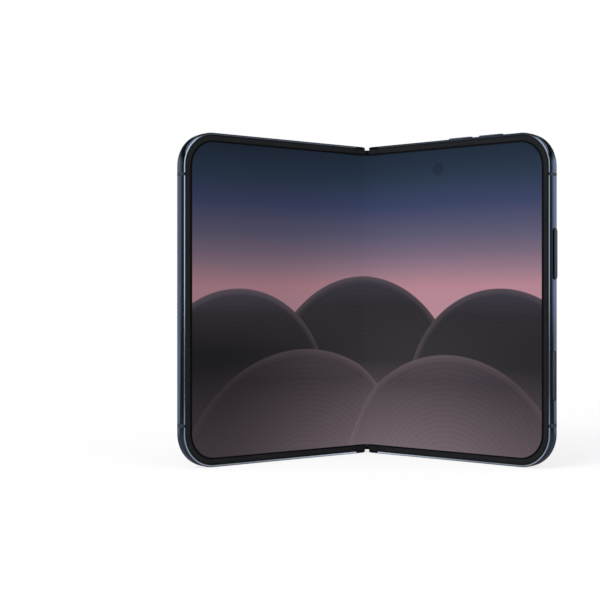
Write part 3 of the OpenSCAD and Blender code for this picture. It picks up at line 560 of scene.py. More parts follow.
def wound_copper(node, place):
    """Enamelled copper wire, wound flat in turns 0.5 mm apart: orange-brown with dark gaps."""
    near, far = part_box("charging_coil")
    turns = waves(node, off_axis(node, place, (near + far) / 2, 1), 0.5 * MM)
    base = node("ValToRGB", [node("MapRange", [turns, -1.0, 1.0, 0.0, 1.0])],
                stops={0.0: "#3a1d10", 0.35: "#a5622f", 1.0: "#c98049"})
    return {"Base Color": base, "Metallic": 0.8, "Roughness": 0.32, "Bump": (0.5, 0.1, turns)}


def polyimide_film(node, place):
    """Polyimide film, laminated over etched copper: amber, with tracks 0.6 mm apart along it."""
    tracks = waves(node, node("SeparateXYZ", [place]).outputs["Z"], 0.6 * MM)
    base = node("ValToRGB", [node("MapRange", [tracks, -1.0, 1.0, 0.0, 1.0])],
                stops={0.3: "#7a4316", 0.6: "#b8752b"})
    return {"Base Color": base, "Roughness": 0.3}


def unlit_panel(node, place):
    """Organic LED panel, switched off: blue-black. Its pixels are 0.06 mm apart; they are drawn
    at 0.4 mm to show."""
    cells = node("TexVoronoi", {
        "Vector": flat_plane(node, place, -1), "Scale": per_mm(0.4), "Randomness": 0.0})
    base = node("ValToRGB", [cells], stops={0.2: "#0b0c12", 0.5: "#050608"})
    return {"Base Color": base, "Roughness": 0.12}


def lit_screen(node, _):
    """Organic LED panel, laminated under hard-coated film: it glows by itself, over a black rim,
    with only a weak, sharp gloss. The picture is a dusk gradient behind large shaded discs."""
    point = node("SeparateXYZ", [node("UVMap", uv_map=SCREEN_MAP)]).outputs
    across, up = point["X"], point["Y"]
    sky = node("ValToRGB", [node("MapRange", [up, 0.0, SKY_TOP, 0.0, 1.0])], stops=SKY)
    haze = node("MapRange.SMOOTHSTEP", [across, -50.0, 32.0, 1.0, 1.5])
    picture = node("VectorMath.SCALE", {"Vector": sky, "Scale": haze})
    plane = node("CombineXYZ", [across, up, 0.0])
    # Each disc is dark along its upper edge and pales downwards, over faint even rings.
    for x, y, r, tones in DISCS:
        reach = node("VectorMath.DISTANCE", [plane, (x, y, 0.0)])
        drop = node("MapRange", [up, y + r, y - r, 0.0, 1.0])
        ring = node("MapRange", [waves(node, reach, DISC_RINGS), -1.0, 1.0, 0.95, 1.04])
        body = node("ValToRGB", [drop], stops=tones)
        body = node("VectorMath.SCALE", {"Vector": body, "Scale": ring})
        edge = node("MapRange.SMOOTHSTEP", [reach, r - 3.0, r, 0.0, 0.12])
        body = node("Mix.RGBA", [edge, body, tone(DISC_EDGE)])
        cover = node("MapRange", [reach, r + 0.15, r - 0.15, 0.0, 1.0])
        picture = node("Mix.RGBA", [cover, picture, body])
    # Light falls right of the middle and dies away to both sides, most to the left.
    aside = node("Math.SUBTRACT", [across, LIGHT_X])
    left = node("MapRange.SMOOTHSTEP", [aside, -LIGHT_LEFT, 0.0, 0.3, 1.1])
    right = node("MapRange.SMOOTHSTEP", [aside, 0.0, LIGHT_RIGHT, 1.0, 0.6])
    light = node("Math.MULTIPLY", [left, right])
    weight = node("MapRange", [up, -2.0, -18.0, 0.0, 1.0])
    gain = node("Mix.FLOAT", [weight, 1.0, light])
    picture = node("VectorMath.SCALE", {"Vector": picture, "Scale": gain})
    # The camera under the panel shows as a faint darker disc.
    eye = node("VectorMath.DISTANCE", [plane, (*INNER_CAMERA, 0.0)])
    veil = node("MapRange", [eye, 2.1, 2.6, 0.72, 1.0])
    picture = node("VectorMath.SCALE", {"Vector": picture, "Scale": veil})
    # Outside the lit area, which has round outer corners, the panel is black.
    sizes = bpy.context.scene.phone_sizes
    r = sizes.screen_corner / MM
    past = []
    for along, half, border in ((across, HALF_W, sizes.border_side),
                                (up, HALF_H, sizes.border_end)):
        reach = node("Math.ABSOLUTE", [along])
        reach = node("Math.SUBTRACT", [reach, half - border / MM - r])
        past.append(node("Math.MAXIMUM", [reach, 0.0]))
    corner = node("VectorMath.LENGTH", [node("CombineXYZ", [*past, 0.0])])
    lit = node("MapRange", [corner, r - 0.05, r + 0.05, 1.0, 0.0])
    shown = node("Mix.RGBA", [lit, (0.0, 0.0, 0.0, 1.0), picture])
    return {"Base Color": tone("panel"), "Roughness": 0.12, "Specular IOR Level": 0.01,
            "Emission Color": shown, "Emission Strength": 1.0}


def pale_paper(node, place):
    """Studio background paper, matte: near white, it keeps a faint shadow close to the phone."""
    fibre = node("TexNoise", [place, per_mm(3), 2.0, 0.5])
    base = node("ValToRGB", [fibre], stops={0.3: "#f0f0f0", 0.7: "#f4f4f4"})
    paper = node("BsdfPrincipled", {
        "Base Color": base, "Roughness": 0.9, "Specular IOR Level": 0.0})
    path = node("LightPath").outputs
    seen = node("Math.MAXIMUM", [path["Is Camera Ray"], path["Is Glossy Ray"]])
    seen = node("Math.MAXIMUM", [seen, path["Is Transmission Ray"]])
    away = node("VectorMath.LENGTH", [place])
    share = node("MapRange", [away, 0.08, 0.3, 0.75, 1.0])
    # The unlit side of the studio, in front of the phone, shows dark in the metal.
    back = node("SeparateXYZ", [place]).outputs["Y"]
    front = node("MapRange", [back, -0.01, 0.04, 0.1, 1.0])
    shine = node("Mix.FLOAT", [path["Is Glossy Ray"], 1.0, front])
    white = node("Emission", [(1.0, 1.0, 1.0, 1.0), shine])
    return node("MixShader", [node("Math.MULTIPLY", [seen, share]), paper, white])


# Each is named for the material and how its surface was made. The comment over it, or its
# function's own, says what that gives the eye.
FINISHES = {
    "polished_anodised_aluminium": anodised_frame,
    # Aluminium, bead-blasted before anodising: the frame's blue with a soft dull sheen. Blasting
    # leaves pits of 0.03 mm; they are drawn at 0.1 mm to show.
    "blasted_anodised_aluminium": grained(
        (0.1, 2.0, 0.6), ("key_dark", "key_light"), (0.3, 0.4), METAL, FULL, bump=(0.2, 0.01)),
    # The same, dyed a paler blue, so that the keys along the top edge stand out softly.
    "blasted_pale_anodised_aluminium": grained(
        (0.1, 2.0, 0.6), ("top_key_dark", "top_key_light"), (0.3, 0.4), METAL, FULL,
        bump=(0.2, 0.01)),
    # Aluminium, turned and polished, dyed near black: fine lathe lines soften its highlights. The
    # lines are 0.05 mm apart; they are drawn at 0.2 mm to show.
    "turned_anodised_ring": grained(
        (0.2, 2.0, 0.5), ("ring_dark", "ring_light"), (0.1, 0.18), METAL, FULL,
        patches=(6, 2.0, 0.5)),
    # Thermoplastic urethane, moulded: a soft charcoal satin with a fine spark-eroded grain.
    "moulded_urethane_surround": grained(
        (0.16, 3.0, 0.6), ("surround_dark", "surround_light"), (0.46, 0.6), DULL, FULL,
        patches=(8, 2.0, 0.5), bump=(0.3, 0.02)),
    # Glass-filled polyamide, moulded in place and polished with the frame: dull blue-black.
    "moulded_polyamide_insert": grained(
        (0.3, 4.0, 0.7), ("#1a2330", "#232e3d"), (0.32, 0.42), DULL, (0.35, 0.65)),
    "etched_back_glass": etched_back_glass,
    # Aluminosilicate glass, polished, black ink printed behind it: deep, even and mirror-smooth.
    "inked_aluminosilicate_glass": grained(
        (18, 3.0, 0.6), ("#07080a", "#0b0c0f"), (0.03, 0.07),
        {"IOR": 1.5, "Specular IOR Level": 0.3}),
    # Sapphire, ground, polished and coated against reflections: clear, with a faint cool tint and
    # little gloss, so its IOR is set below sapphire's own.
    "coated_sapphire_window": grained(
        (2, 2.0, 0.5), ("#dfe6ee", "#eef2f6"), (0.0, 0.02),
        {"IOR": 1.2, "Transmission Weight": 1.0, "Specular IOR Level": 0.25}),
    # Black ink, screen-printed and bonded to the glass: blue-black and dense, with no gloss of its
    # own, because nearly no light turns back where ink meets glass.
    "printed_black_ink": grained(
        (1.5, 2.0, 0.5), ("#06080c", "#0a0d13"), (0.3, 0.4), DULL),
    # Polycarbonate, moulded with light baffles: brown-black and matte, to swallow stray light.
    "baffled_black_polycarbonate": grained(
        (0.15, 3.0, 0.6), ("#0c0b0d", "#161315"), (0.4, 0.55), {"Specular IOR Level": 0.2}),
    # Steel sheet, rolled and coated black against light: brown-black and matte, so not metallic.
    "blackened_steel_sheet": grained(
        (0.15, 3.0, 0.6), ("#0c0b0d", "#161315"), (0.4, 0.55), {"Specular IOR Level": 0.2}),
    "coated_main_lens": coated_lens(1, (CAMERA_S["main"], PLATEAU_Y), {
        0.0: "#1c2026", 0.3: "#14151b", 0.45: "#3a3340", 0.55: "#0f0f14",
        0.8: "#1d1f26", 1.0: "#0a0a0c"}),
    "coated_wide_lens": coated_lens(1, (CAMERA_S["wide"], PLATEAU_Y), {
        0.0: "#24407a", 0.3: "#2f568f", 0.45: "#8a5a34", 0.65: "#5a3a28",
        0.82: "#1c2230", 1.0: "#0a0a0c"}),
    "coated_cover_lens": coated_lens(-1, COVER_CAMERA, {
        0.0: "#0b0e16", 0.4: "#1b2338", 0.7: "#0c0d14", 1.0: "#060608"}, COVER_LENS_R),
    "ribbed_polycarbonate_diffuser": ribbed_diffuser,
    # Copper alloy, gold-plated: warm yellow with a soft stamped grain.
    "gold_plated_copper": grained((0.4, 3.0, 0.6), ("#b8934a", "#d8b568"), (0.22, 0.34), METAL),
    # Stainless steel, milled and tumbled: grey satin with fine tool lines that run up the hinge.
    # They are 0.03 mm apart; they are drawn at 0.15 mm to show.
    "machined_stainless_steel": grained(
        (0.15, 3.0, 0.6), ("#7f8286", "#9da0a3"), (0.28, 0.42), METAL, stretch=(1.0, 1.0, 0.06),
        bump=(0.15, 0.01)),
    # Neodymium magnet, nickel-plated: pale, slightly yellow mirror with plating orange-peel.
    "nickel_plated_neodymium": grained(
        (0.6, 2.0, 0.5), ("#9b9890", "#b5b2a8"), (0.18, 0.28), METAL),
    "solder_masked_board_right": circuit_board(1),
    "solder_masked_board_left": circuit_board(-1),
    "stamped_nickel_silver": shield_plate,
    # Aluminium foil pouch, black-laminated and heat-sealed: soft wrinkles under a satin film.
    "laminated_foil_pouch": grained(
        (7, 4.0, 0.55, None, 0.6), ("#131416", "#202225"), (0.3, 0.45), bump=(0.5, 0.1)),
    "wound_enamelled_copper": wound_copper,
    "laminated_polyimide_film": polyimide_film,
    # Liquid-crystal polymer, moulded: matte black with flow streaks, as speaker boxes have.
    "moulded_liquid_crystal_polymer": grained(
        (1.5, 4.0, 0.65, None, 1.2), ("#151618", "#25272a"), (0.45, 0.6)),
    "unlit_oled_panel": unlit_panel,
    "laminated_oled_screen": lit_screen,
    "pale_matte_paper": pale_paper,
}


# ---- Sizes and colours that a user would change ----

def colour(name, description, value):
    """A colour to set, from its sRGB hex value."""
    return FloatVectorProperty(name=name, description=description, subtype="COLOR", size=4,
                               min=0.0, max=1.0, default=linear(value))


def length(name, description, value):
    """A length to set, from its value in millimetres."""
    return FloatProperty(name=name, description=description, default=value * MM, min=0.0,
                         unit="LENGTH", subtype="DISTANCE", precision=5)


def power(name, description, value):
    """A lamp's power to set, in watts."""
    return FloatProperty(name=name, description=description, default=value, min=0.0, unit="POWER")


class PhoneColours(bpy.types.PropertyGroup):
    """Colours of the phone's finishes."""
    frame_dark: colour("Frame, darker", "Deeper tone of the anodised frame", "#414d60")
    frame_light: colour("Frame, lighter", "Paler tone of the anodised frame", "#4d5b72")
    rim: colour("Rim", "Tone of the frame's bright-cut rim", "#dcecff")
    rim_top: colour("Rim, top", "Tone of that rim along the top", "#505a69")
    rim_slot: colour("Rim slot", "Tone of the slot along the end pieces beside the fold", "#0d1116")
    key_dark: colour("Side keys, darker", "Deeper tone of the power and capture keys", "#1f2733")
    key_light: colour("Side keys, lighter", "Paler tone of the power and capture keys", "#283140")
    top_key_dark: colour("Top keys, darker", "Deeper tone of the volume keys", "#8596b0")
    top_key_light: colour("Top keys, lighter", "Paler tone of the volume keys", "#9aabc4")
    ring_dark: colour("Camera rings, darker", "Deeper tone of the camera rings", "#1d2531")
    ring_light: colour("Camera rings, lighter", "Paler tone of the camera rings", "#2a3341")
    surround_dark: colour("Surround, darker", "Deeper tone of the screen's surround", "#16171a")
    surround_light: colour("Surround, lighter", "Paler tone of the screen's surround", "#1d1e20")
    back_dark: colour("Back, darker", "Deeper tone of the back glass", "#27303d")
    back_light: colour("Back, lighter", "Paler tone of the back glass", "#2f3947")
    deck: colour("Camera deck", "Tone of the raised camera deck", "#0c121b")
    panel: colour("Unlit screen", "Tone of the folding screen where it isn't lit", "#0d0d10")


class PhoneSizes(bpy.types.PropertyGroup):
    """Fine sizes that the looks add to the frame."""
    border_side: length("Side border", "From the frame's side to the lit area", 3.65)
    border_end: length("End border", "From the frame's top or bottom to the lit area", 3.3)
    screen_corner: length("Lit corner", "Radius of the lit area's outer corners", 8.8)
    groove_w: length("Groove", "Gap between the front rim and the surround", 0.5)
    groove_depth: length("Groove depth", "How deep that gap is", 0.3)
    trim_round: length("Surround round", "Radius of the surround's edges", 0.16)
    key_round: length("Key round", "Radius round the top of a side key", 0.2)
    ring_round: length("Ring round", "Radius of a camera ring's outer edge", 0.4)
    lens_r: length("Lens radius", "Radius of a rear camera's front lens", 2.1)
    aperture_r: length("Lens aperture", "Radius of the clear middle of a camera window", 4.3)
    baffles: IntProperty(name="Baffles", description="Steps inside a camera barrel", default=5,
                         min=1, max=12)


class PhoneStage(bpy.types.PropertyGroup):
    """Camera and studio."""
    camera_back: length("Camera distance", "From the phone's origin to the camera", 449.4)
    camera_height: length("Camera height", "Height of the camera", 57.98)
    focal: FloatProperty(name="Focal length", description="Lens of the camera, in millimetres",
                         default=74.46, min=10.0, unit="CAMERA")
    shift: FloatProperty(name="Shift", description="Sideways shift of the picture",
                         default=-0.1116)
    floor: length("Floor", "Width of the floor", 6000.0)
    key_power: power("Key lamp", "Power of the soft lamp front left", 20.0)
    fill_power: power("Fill lamp", "Power of the soft lamp front right", 5.0)
    top_power: power("Top lamp", "Power of the soft lamp overhead", 7.0)
    sky_level: FloatProperty(name="Sky", description="Level of the even light all round",
                             default=0.45, min=0.0, max=1.0)


# ---- Pieces ----

class PHONE_OT_stage(bpy.types.Operator):
    """Adds the camera, the soft lamps, the pale floor and the white surroundings"""
    bl_idname = "phone.add_stage"
    bl_label = "Stage"

    def execute(self, context):
        stage = context.scene.phone_stage
        context.scene.view_settings.view_transform = "Standard"
        lens = bpy.data.cameras.new("studio_camera")
        lens.lens = stage.focal
        lens.sensor_width = 36.0
        lens.shift_x = stage.shift
        lens.clip_start = 0.01
        camera = placed("studio_camera", lens)
        camera.location = (0.0, -stage.camera_back, stage.camera_height)
        camera.rotation_euler = (pi / 2, 0.0, 0.0)
        context.scene.camera = camera
        # Each lamp's place, power and size, in metres and watts.
        for name, place, watts, size in (
                ("key_lamp", (-0.9, -1.0, 0.8), stage.key_power, (0.9, 0.9)),
                ("fill_lamp", (1.1, -0.9, 0.7), stage.fill_power, (0.9, 0.9)),
                ("top_lamp", (0.0, -0.35, 1.2), stage.top_power, (2.0, 1.0))):
            light = bpy.data.lights.new(name, "AREA")
            light.energy = watts
            light.shape = "RECTANGLE"
            light.size, light.size_y = size
            lamp = placed(name, light)
            lamp.location = place
            # The front lamps are kept out of the metal, which mirrors only the studio's walls.
            lamp.visible_glossy = name == "top_lamp"
            aim = Vector((0.0, 0.0, stage.camera_height)) - lamp.location
            lamp.rotation_euler = aim.to_track_quat("-Z", "Y").to_euler()

        world = bpy.data.worlds.new("studio_surroundings")
        context.scene.world = world
        world.use_nodes = True
        world.node_tree.nodes.clear()
        node = partial(add, world.node_tree)
        path = node("LightPath").outputs
        seen = node("Math.MAXIMUM", [path["Is Camera Ray"], path["Is Transmission Ray"]])
        # The studio's walls are lit, brighter on the right, and the camera's side and the ceiling
        # are not, which draws the dark lines in the metal.
        away = node("SeparateXYZ", [node("TexCoord").outputs["Generated"]]).outputs
        walls = node("MapRange", [away["X"], -1.0, 1.0, 0.9, 1.5])
        front = node("MapRange", [away["Y"], -0.68, 0.1, 0.0, 1.0])
        low = node("MapRange.SMOOTHSTEP", [away["Z"], 0.2, 0.5, 1.0, 0.0])
        lit = node("Math.MULTIPLY", [front, low])
        gloss = node("Mix.FLOAT", [lit, 0.04, walls])
        level = node("Mix.FLOAT", [path["Is Glossy Ray"], stage.sky_level, gloss])
        level = node("Mix.FLOAT", [seen, level, 1.0])
        node("OutputWorld", [node("Background", [(1.0, 1.0, 1.0, 1.0), level])])

        bm = bmesh.new()
        half = stage.floor / 2
        skin(bm, [[(x, y, 0.0) for x in (-half, half)] for y in (-half, half)])
        shaped("floor", bm, ["pale_matte_paper"])
        return {"FINISHED"}


class PHONE_OT_screen(bpy.types.Operator):
    """Adds the folding screen as two sheets that bend with the halves"""
    bl_idname = "phone.add_screen"
    bl_label = "Folding screen"

    def execute(self, context):
        x, y, r = HALF_W - CORNER_R, HALF_H - CORNER_R, CORNER_R - PANEL_INSET
        flat_part = [(s, HALF_H - PANEL_INSET) for s in (BEND_START + SLIT, 5.0, 8.0, 24.0, 48.0)]
        flat_part += [(x + r * sin(t), y + r * cos(t)) for t in quarter(24)]
        for side, name in SIDES.items():
            # Each column with its half height and how far from the fold it lies when flat.
            columns = [(column, BEND_HALF_H, BEND_START * i / BEND_STEPS) for i, column
                       in enumerate(bending_columns(SCREEN_FRONT, BEND_START, BEND_STEPS))]
            columns += [((folded(s, SCREEN_FRONT), STRAIGHT), half_h, s) for s, half_h in flat_part]
            bm = bmesh.new()
            face_map = bm.loops.layers.uv.new(SCREEN_MAP)
            grid = skin(bm, [sheet_row(side, column, -half_h, half_h, SCREEN_T)
                             for column, half_h, _ in columns], around=True, mark=1)
            where = {}
            for row, (_, half_h, s) in zip(grid, columns):
                where.update(zip(row, [(side * s, up * half_h) for up in (-1, 1, 1, -1)]))
            # The picture is on the front faces, and the backing on all others.
            for row, after in zip(grid, grid[1:]):
                front = {row[0], row[1], after[0], after[1]}
                next(f for f in row[0].link_faces if set(f.verts) == front).material_index = 0
            for face in bm.faces:
                for loop in face.loops:
                    loop[face_map].uv = where[loop.vert]
            made = piece(f"screen_{name}", bm, 0,
                         ["laminated_oled_screen", "blackened_steel_sheet"],
                         (f"display_{name}", "display_fold"))
            bend(made)
        return {"FINISHED"}


def trim_profile(sizes):
    """The surround's section as (inset, depth), from the groove over its top to its foot."""
    groove, floor, r = sizes.groove_w / MM, sizes.groove_depth / MM, sizes.trim_round / MM
    top = rounded([(RIM_W, floor), (RIM_W + groove, floor), (RIM_W + groove, 0.02),
                   ((RIM_W + groove + TRIM_INNER) / 2, 0.0), (TRIM_INNER, 0.03),
                   (TRIM_INNER, SCREEN_FRONT)], r)
    return top + [(TRIM_FOOT, SCREEN_FRONT), (TRIM_FOOT, WEB_FRONT), (RIM_W, WEB_FRONT)]


class PHONE_OT_surround(bpy.types.Operator):
    """Adds the soft raised surround of the screen and its small end pieces beside the fold"""
    bl_idname = "phone.add_surround"
    bl_label = "Screen surround"

    def execute(self, context):
        profile = trim_profile(context.scene.phone_sizes)
        # The end pieces run to the notch at the fold, where the surround's section is squeezed.
        stops = [(CAP_SEAM, RIM_W)] + [(TRIM_START + NOTCH_R * (1 - sin(t)),
                                        max(NOTCH_R * (1 - cos(t)), RIM_W)) for t in quarter(10)]
        for side, name in SIDES.items():
            bm = bmesh.new()
            skin(bm, stack(profile, lambda inset: edge_path(inset, CAP_SEAM + SEAM_W)), closed=True)
            piece(f"surround_{name}", bm, side, ["moulded_urethane_surround"],
                  (f"{name}_bezel_trim",), crease=50)
            bm = bmesh.new()
            for up in (1, -1):
                rows = []
                for s, low in stops:
                    squeeze = (TRIM_INNER - low) / TRIM_W
                    rows.append([(s, up * (HALF_H - low - (inset - RIM_W) * squeeze), -depth)
                                 for inset, depth in profile])
                skin(bm, rows, around=True)
            piece(f"fold_caps_{name}", bm, side, ["moulded_urethane_surround"],
                  (f"{name}_fold_caps",), crease=50)
        return {"FINISHED"}


class PHONE_OT_keys(bpy.types.Operator):
    """Adds the power key, the capture key and the two volume keys, with rounded tops"""
    bl_idname = "phone.add_keys"
    bl_label = "Keys"

    def execute(self, context):
        r = context.scene.phone_sizes.key_round / MM
        foot = WALL + SLIT
        for name, (at, long, wide, proud) in {**SIDE_KEYS, **TOP_KEYS}.items():
            on_side = name in SIDE_KEYS
            edge = HALF_W if on_side else HALF_H
            cap = [(r - proud - r * sin(t), r * (1 - cos(t))) for t in quarter(5)]
            shells = [[(max(depth, -proud), pill(long, wide, inset))
                       for depth, inset in [(foot, 0.0), *cap]],
                      [(depth, block(long + 2 * KEY_FLANGE_OVER, wide, KEY_FLANGE_R))
                       for depth in (foot, foot + KEY_FLANGE_T)]]
            bm = bmesh.new()
            for shell in shells:
                skin(bm, [[(edge - depth, at + a, b - MID_DEPTH) if on_side
                           else (at + a, edge - depth, b - MID_DEPTH)
                           for a, b in outline] for depth, outline in shell], around=True)
            finish = "blasted_anodised_aluminium" if on_side else "blasted_pale_anodised_aluminium"
            piece(name + "_cap", bm, 1, [finish], (name,), body=name)
        return {"FINISHED"}


class PHONE_OT_cameras(bpy.types.Operator):
    """Adds the rear cameras: turned rings, inked windows, baffled barrels and coated lenses"""
    bl_idname = "phone.add_cameras"
    bl_label = "Rear cameras"

    def execute(self, context):
        sizes = context.scene.phone_sizes
        r, lens_r, aperture = (size / MM for size in
                               (sizes.ring_round, sizes.lens_r, sizes.aperture_r))
        front = RING_TOP - LENS_SINK
        back = front - LENS_T
        barrels = bmesh.new()
        for name, s in CAMERA_S.items():
            at = (s, PLATEAU_Y)
            bm = bmesh.new()
            # A groove runs round the foot of the ring.
            shape = rounded([(RING_BORE, PLATEAU_ROOF), (SPIGOT_R, PLATEAU_ROOF),
                             (SPIGOT_R, PLATEAU_TOP), (RING_R, PLATEAU_TOP),
                             (RING_R, PLATEAU_TOP + 0.18), (RING_R - 0.12, PLATEAU_TOP + 0.24),
                             (RING_R - 0.12, PLATEAU_TOP + 0.34), (RING_R, PLATEAU_TOP + 0.4)],
                            0.02, 2)
            shape += rounded([(RING_R, RING_TOP - 2 * r), (RING_R, RING_TOP),
                              (LENS_R + 0.28, RING_TOP), (LENS_R, RING_TOP - 0.14),
                              (LENS_R, back)], r, 6)
            turned(bm, at, shape + [(RING_BORE, back)], closed=True)
            piece(f"{name}_ring", bm, 1, ["turned_anodised_ring"],
                  (f"{name}_camera_ring",), crease=28)
            bm = bmesh.new()
            turned(bm, at, [(0, front), (LENS_R - 0.12, front), (LENS_R, front - 0.12),
                            (LENS_R, back), (aperture, back), (0, back)])
            # Ink is printed on the window's back face, round the aperture.
            for face in bm.faces:
                middle = face.calc_center_median()
                if (abs(middle.z + back) < 1e-3
                        and hypot(middle.x - s, middle.y - PLATEAU_Y) > aperture):
                    face.material_index = 1
            piece(f"{name}_window", bm, 1,
                  ["coated_sapphire_window", "printed_black_ink"], (f"{name}_camera_glass",),
                  crease=28)

            camera_body(barrels, at, CAMERA_W, 1.0, 0.15, GLASS_FRONT)
            # The baffles step down from under the window to the lens.
            top, foot = back - 0.05, GLASS_FRONT - 0.2
            mouth, throat = aperture + 0.3, lens_r + 0.15
            wall = [(0, foot), (BARREL_R, foot), (BARREL_R, top - 0.1), (BARREL_R - 0.1, top),
                    (aperture + 0.45, top)]
            for i in range(sizes.baffles):
                near, then = (mouth - (mouth - throat) * n / sizes.baffles for n in (i, i + 1))
                depth = top - 0.12 - (top - 0.12 - LENS_SEAT) * (i + 1) / sizes.baffles
                wall += [(near, depth + 0.02), (then + 0.06, depth)]
            wall += [(lens_r + 0.1, LENS_SEAT - 0.15), (0, LENS_SEAT - 0.15)]
            turned(barrels, at, wall)
            bm = bmesh.new()
            turned(bm, at, dome(lens_r, LENS_SEAT - 0.12, 0.62, 12)
                   + [(lens_r, LENS_SEAT - 0.14), (0, LENS_SEAT - 0.14)])
            piece(f"{name}_lens", bm, 1, [f"coated_{name}_lens"], crease=28)
        piece("rear_camera_barrels", barrels, 1,
              ["baffled_black_polycarbonate"], ("rear_camera_modules",), crease=28)
        return {"FINISHED"}


class PHONE_OT_flash(bpy.types.Operator):
    """Adds the flash's ribbed window"""
    bl_idname = "phone.add_flash"
    bl_label = "Flash"

    def execute(self, context):
        top = PLATEAU_TOP - SLIT
        shape = [(0.0, top - 0.06)]
        ribs = 7
        for i in range(ribs):
            r = 0.25 + (FLASH_R - 0.5) * i / ribs
            shape += [(r, top - 0.09), (r + 0.12, top - 0.02)]
        shape += [(FLASH_R - 0.12, top), (FLASH_R - 0.02, top - 0.1),
                  (FLASH_R - 0.02, PLATEAU_ROOF), (0.0, PLATEAU_ROOF)]
        bm = bmesh.new()
        turned(bm, (FLASH_S, FLASH_Y), shape)
        piece("flash_window", bm, 1, ["ribbed_polycarbonate_diffuser"],
              ("flash_lens",), crease=20)
        return {"FINISHED"}


class PHONE_OT_port(bpy.types.Operator):
    """Adds the charging port: a drawn shell, its tongue and its plated contacts"""
    bl_idname = "phone.add_port"
    bl_label = "Charging port"

    def execute(self, context):
        mouth, end = USB_IN, USB_IN + USB_LEN

        def section(q, outline):
            """The outline that far in from the frame's lower edge."""
            return [(USB_S + x, q - HALF_H, y - MID_DEPTH) for x, y in outline]

        bm = bmesh.new()
        skin(bm, [section(q, pill(USB_W, USB_H, inset, 14)) for q, inset in (
            (end, 0.25), (end - 0.25, 0.0), (mouth + 0.06, 0.0), (mouth, 0.08),
            (mouth, USB_SHELL - 0.08), (mouth + 0.1, USB_SHELL), (end - 1.2, USB_SHELL))],
            around=True)
        skin(bm, [section(q, block(TONGUE_W, TONGUE_T, 0.2, inset)) for q, inset in (
            (1.4, 0.12), (1.52, 0.0), (end - 1.0, 0.0))], around=True, mark=1)
        # The contacts lie on both faces of the tongue.
        for i in range(CONTACTS):
            x = (i - (CONTACTS - 1) / 2) * CONTACT_PITCH
            for face in (1, -1):
                pad = [(x + a, face * TONGUE_T / 2 + b)
                       for a, b in ((-0.14, -0.015), (0.14, -0.015), (0.14, 0.015), (-0.14, 0.015))]
                skin(bm, [section(q, pad) for q in (1.8, 5.0)], around=True, mark=2)
        piece("charging_port", bm, 1,
              ["machined_stainless_steel", "moulded_liquid_crystal_polymer", "gold_plated_copper"],
              ("usb_port",))
        return {"FINISHED"}


class PHONE_OT_cover(bpy.types.Operator):
    """Adds the outer cover glass, its camera window and the camera behind it"""
    bl_idname = "phone.add_cover"
    bl_label = "Cover glass"

    def execute(self, context):
        levels = [(COVER_ROUND * (1 - cos(t)), THICK - COVER_ROUND * (1 - sin(t)))
                  for t in quarter(5)]
        bm = bmesh.new()
        sides = skin(bm, stack([(0.0, GLASS_FRONT)] + levels,
                               lambda inset: edge_path(GLASS_INSET + inset, LIP_STRIP + inset)),
                     around=True, ends=False)
        bore = skin(bm, stack([(COVER_HOLE_R, GLASS_FRONT), (COVER_HOLE_R, THICK)],
                              lambda r: circle(r, 48), COVER_CAMERA), around=True, ends=False)
        for end in (0, -1):
            loops = [(row, row[1:] + row[:1]) for row in (sides[end], bore[end])]
            bmesh.ops.triangle_fill(bm, use_beauty=True, edges=[
                bm.edges.get(pair) for row, after in loops for pair in zip(row, after)])
        piece("cover_glass_sheet", bm, -1, ["inked_aluminosilicate_glass"],
              ("cover_glass",), crease=28)
        window_r = COVER_HOLE_R - 0.03
        bm = bmesh.new()
        turned(bm, COVER_CAMERA, [(0, THICK - 0.02), (window_r, THICK - 0.02),
                                  (window_r, GLASS_FRONT), (0, GLASS_FRONT)], 48)
        piece("cover_camera_window", bm, -1, ["coated_sapphire_window"], crease=28)
        bm = bmesh.new()
        camera_body(bm, COVER_CAMERA, 7.0, 0.6, 0.1, 3.65)
        turned(bm, COVER_CAMERA, [(0, 2.4), (2.0, 2.4), (2.0, 4.1), (1.95, 4.15), (1.35, 4.15),
                                  (1.25, 4.0), (1.2, 3.8), (0.95, 3.78), (0.9, 3.6), (0, 3.6)], 48)
        piece("cover_camera", bm, -1, ["baffled_black_polycarbonate"],
              ("cover_camera_module",), crease=28)
        bm = bmesh.new()
        foot = 3.62
        turned(bm, COVER_CAMERA, dome(COVER_LENS_R, foot, 0.3, 8) + [(0, foot)], 48)
        piece("cover_camera_lens", bm, -1, ["coated_cover_lens"])
        return {"FINISHED"}


class PHONE_OT_ribbon(bpy.types.Operator):
    """Adds the flexible circuits that cross the hinge, bending with it"""
    bl_idname = "phone.add_ribbon"
    bl_label = "Hinge ribbon"

    def execute(self, context):
        columns = bending_columns(RIBBON_FRONT, RIBBON_BEND, RIBBON_STEPS)
        columns += [(folded(s, RIBBON_FRONT), STRAIGHT) for s in (8.0, 15.5)]
        for side, name in SIDES.items():
            bm = bmesh.new()
            skin(bm, [sheet_row(side, column, RIBBON_LOW, RIBBON_HIGH, RIBBON_T)
                      for column in columns], around=True)
            made = piece(f"hinge_ribbon_{name}", bm, 0,
                         ["laminated_polyimide_film"], ("hinge_ribbon",))
            bend(made)
        return {"FINISHED"}


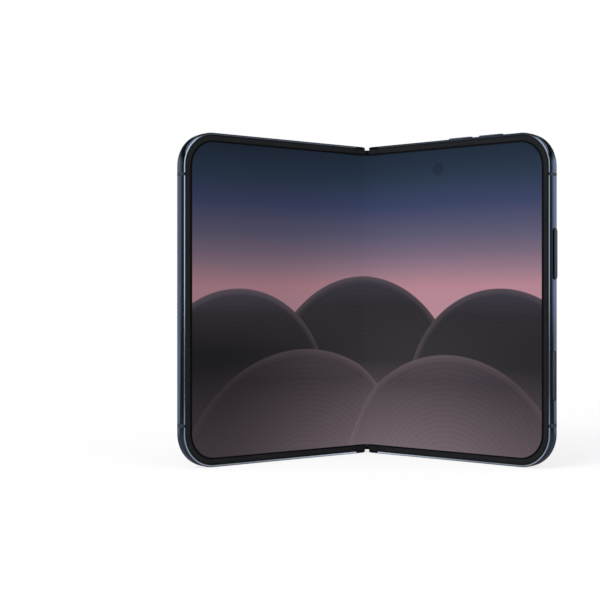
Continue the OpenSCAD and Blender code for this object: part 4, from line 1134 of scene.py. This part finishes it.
# What the frame's own pieces are made of, by slot, and the few that differ by name.
FINISH_OF_SLOT = {
    "navy_frame": "polished_anodised_aluminium",
    "surround": "moulded_urethane_surround",
    "antenna_insert": "moulded_polyamide_insert",
    "back_glass": "etched_back_glass",
    "camera_housing": "baffled_black_polycarbonate",
    "contact_gold": "gold_plated_copper",
    "cover_screen": "unlit_oled_panel",
    "hinge_steel": "machined_stainless_steel",
    "board": "solder_masked_board_right",
    "shield": "stamped_nickel_silver",
    "battery_pouch": "laminated_foil_pouch",
    "coil_copper": "wound_enamelled_copper",
    "speaker_box": "moulded_liquid_crystal_polymer",
}
FINISH_OF_NODE = {
    "right_magnets": "nickel_plated_neodymium",
    "left_magnets": "nickel_plated_neodymium",
    "left_board": "solder_masked_board_left",
}


class PHONE_OT_finishes(bpy.types.Operator):
    """Gives every frame piece that still shows the finish of what it is made of"""
    bl_idname = "phone.add_finishes"
    bl_label = "Finishes of the frame"

    def execute(self, context):
        for name, node in NODES.items():
            if not node.hide_render:
                finish = FINISH_OF_NODE.get(name) or FINISH_OF_SLOT[SLOT_OF[name]]
                for slot in node.material_slots:
                    slot.material = material(finish)
        return {"FINISHED"}


class PHONE_PT_panel(bpy.types.Panel):
    """Lists what the add-on makes, with its sizes and colours"""
    bl_label = "Folding phone"
    bl_space_type = "VIEW_3D"
    bl_region_type = "UI"
    bl_category = "Phone"

    def draw(self, context):
        for operator in OPERATORS:
            self.layout.operator(operator.bl_idname)
        for name in GROUPS:
            group = getattr(context.scene, name)
            box = self.layout.box()
            for setting in group.__annotations__:
                box.prop(group, setting)


OPERATORS = [PHONE_OT_stage, PHONE_OT_screen, PHONE_OT_surround, PHONE_OT_keys, PHONE_OT_cameras,
             PHONE_OT_flash, PHONE_OT_port, PHONE_OT_cover, PHONE_OT_ribbon, PHONE_OT_finishes]
GROUPS = {"phone_colours": PhoneColours, "phone_sizes": PhoneSizes, "phone_stage": PhoneStage}
CLASSES = [*GROUPS.values(), *OPERATORS, PHONE_PT_panel]


def register():
    for cls in CLASSES:
        bpy.utils.register_class(cls)
    for name, group in GROUPS.items():
        setattr(bpy.types.Scene, name, PointerProperty(type=group))


def unregister():
    for name in GROUPS:
        delattr(bpy.types.Scene, name)
    for cls in reversed(CLASSES):
        bpy.utils.unregister_class(cls)


def main():
    register()
    for operator in OPERATORS:
        group, name = operator.bl_idname.split(".")
        getattr(getattr(bpy.ops, group), name)()


if __name__ == "__main__":
    main()
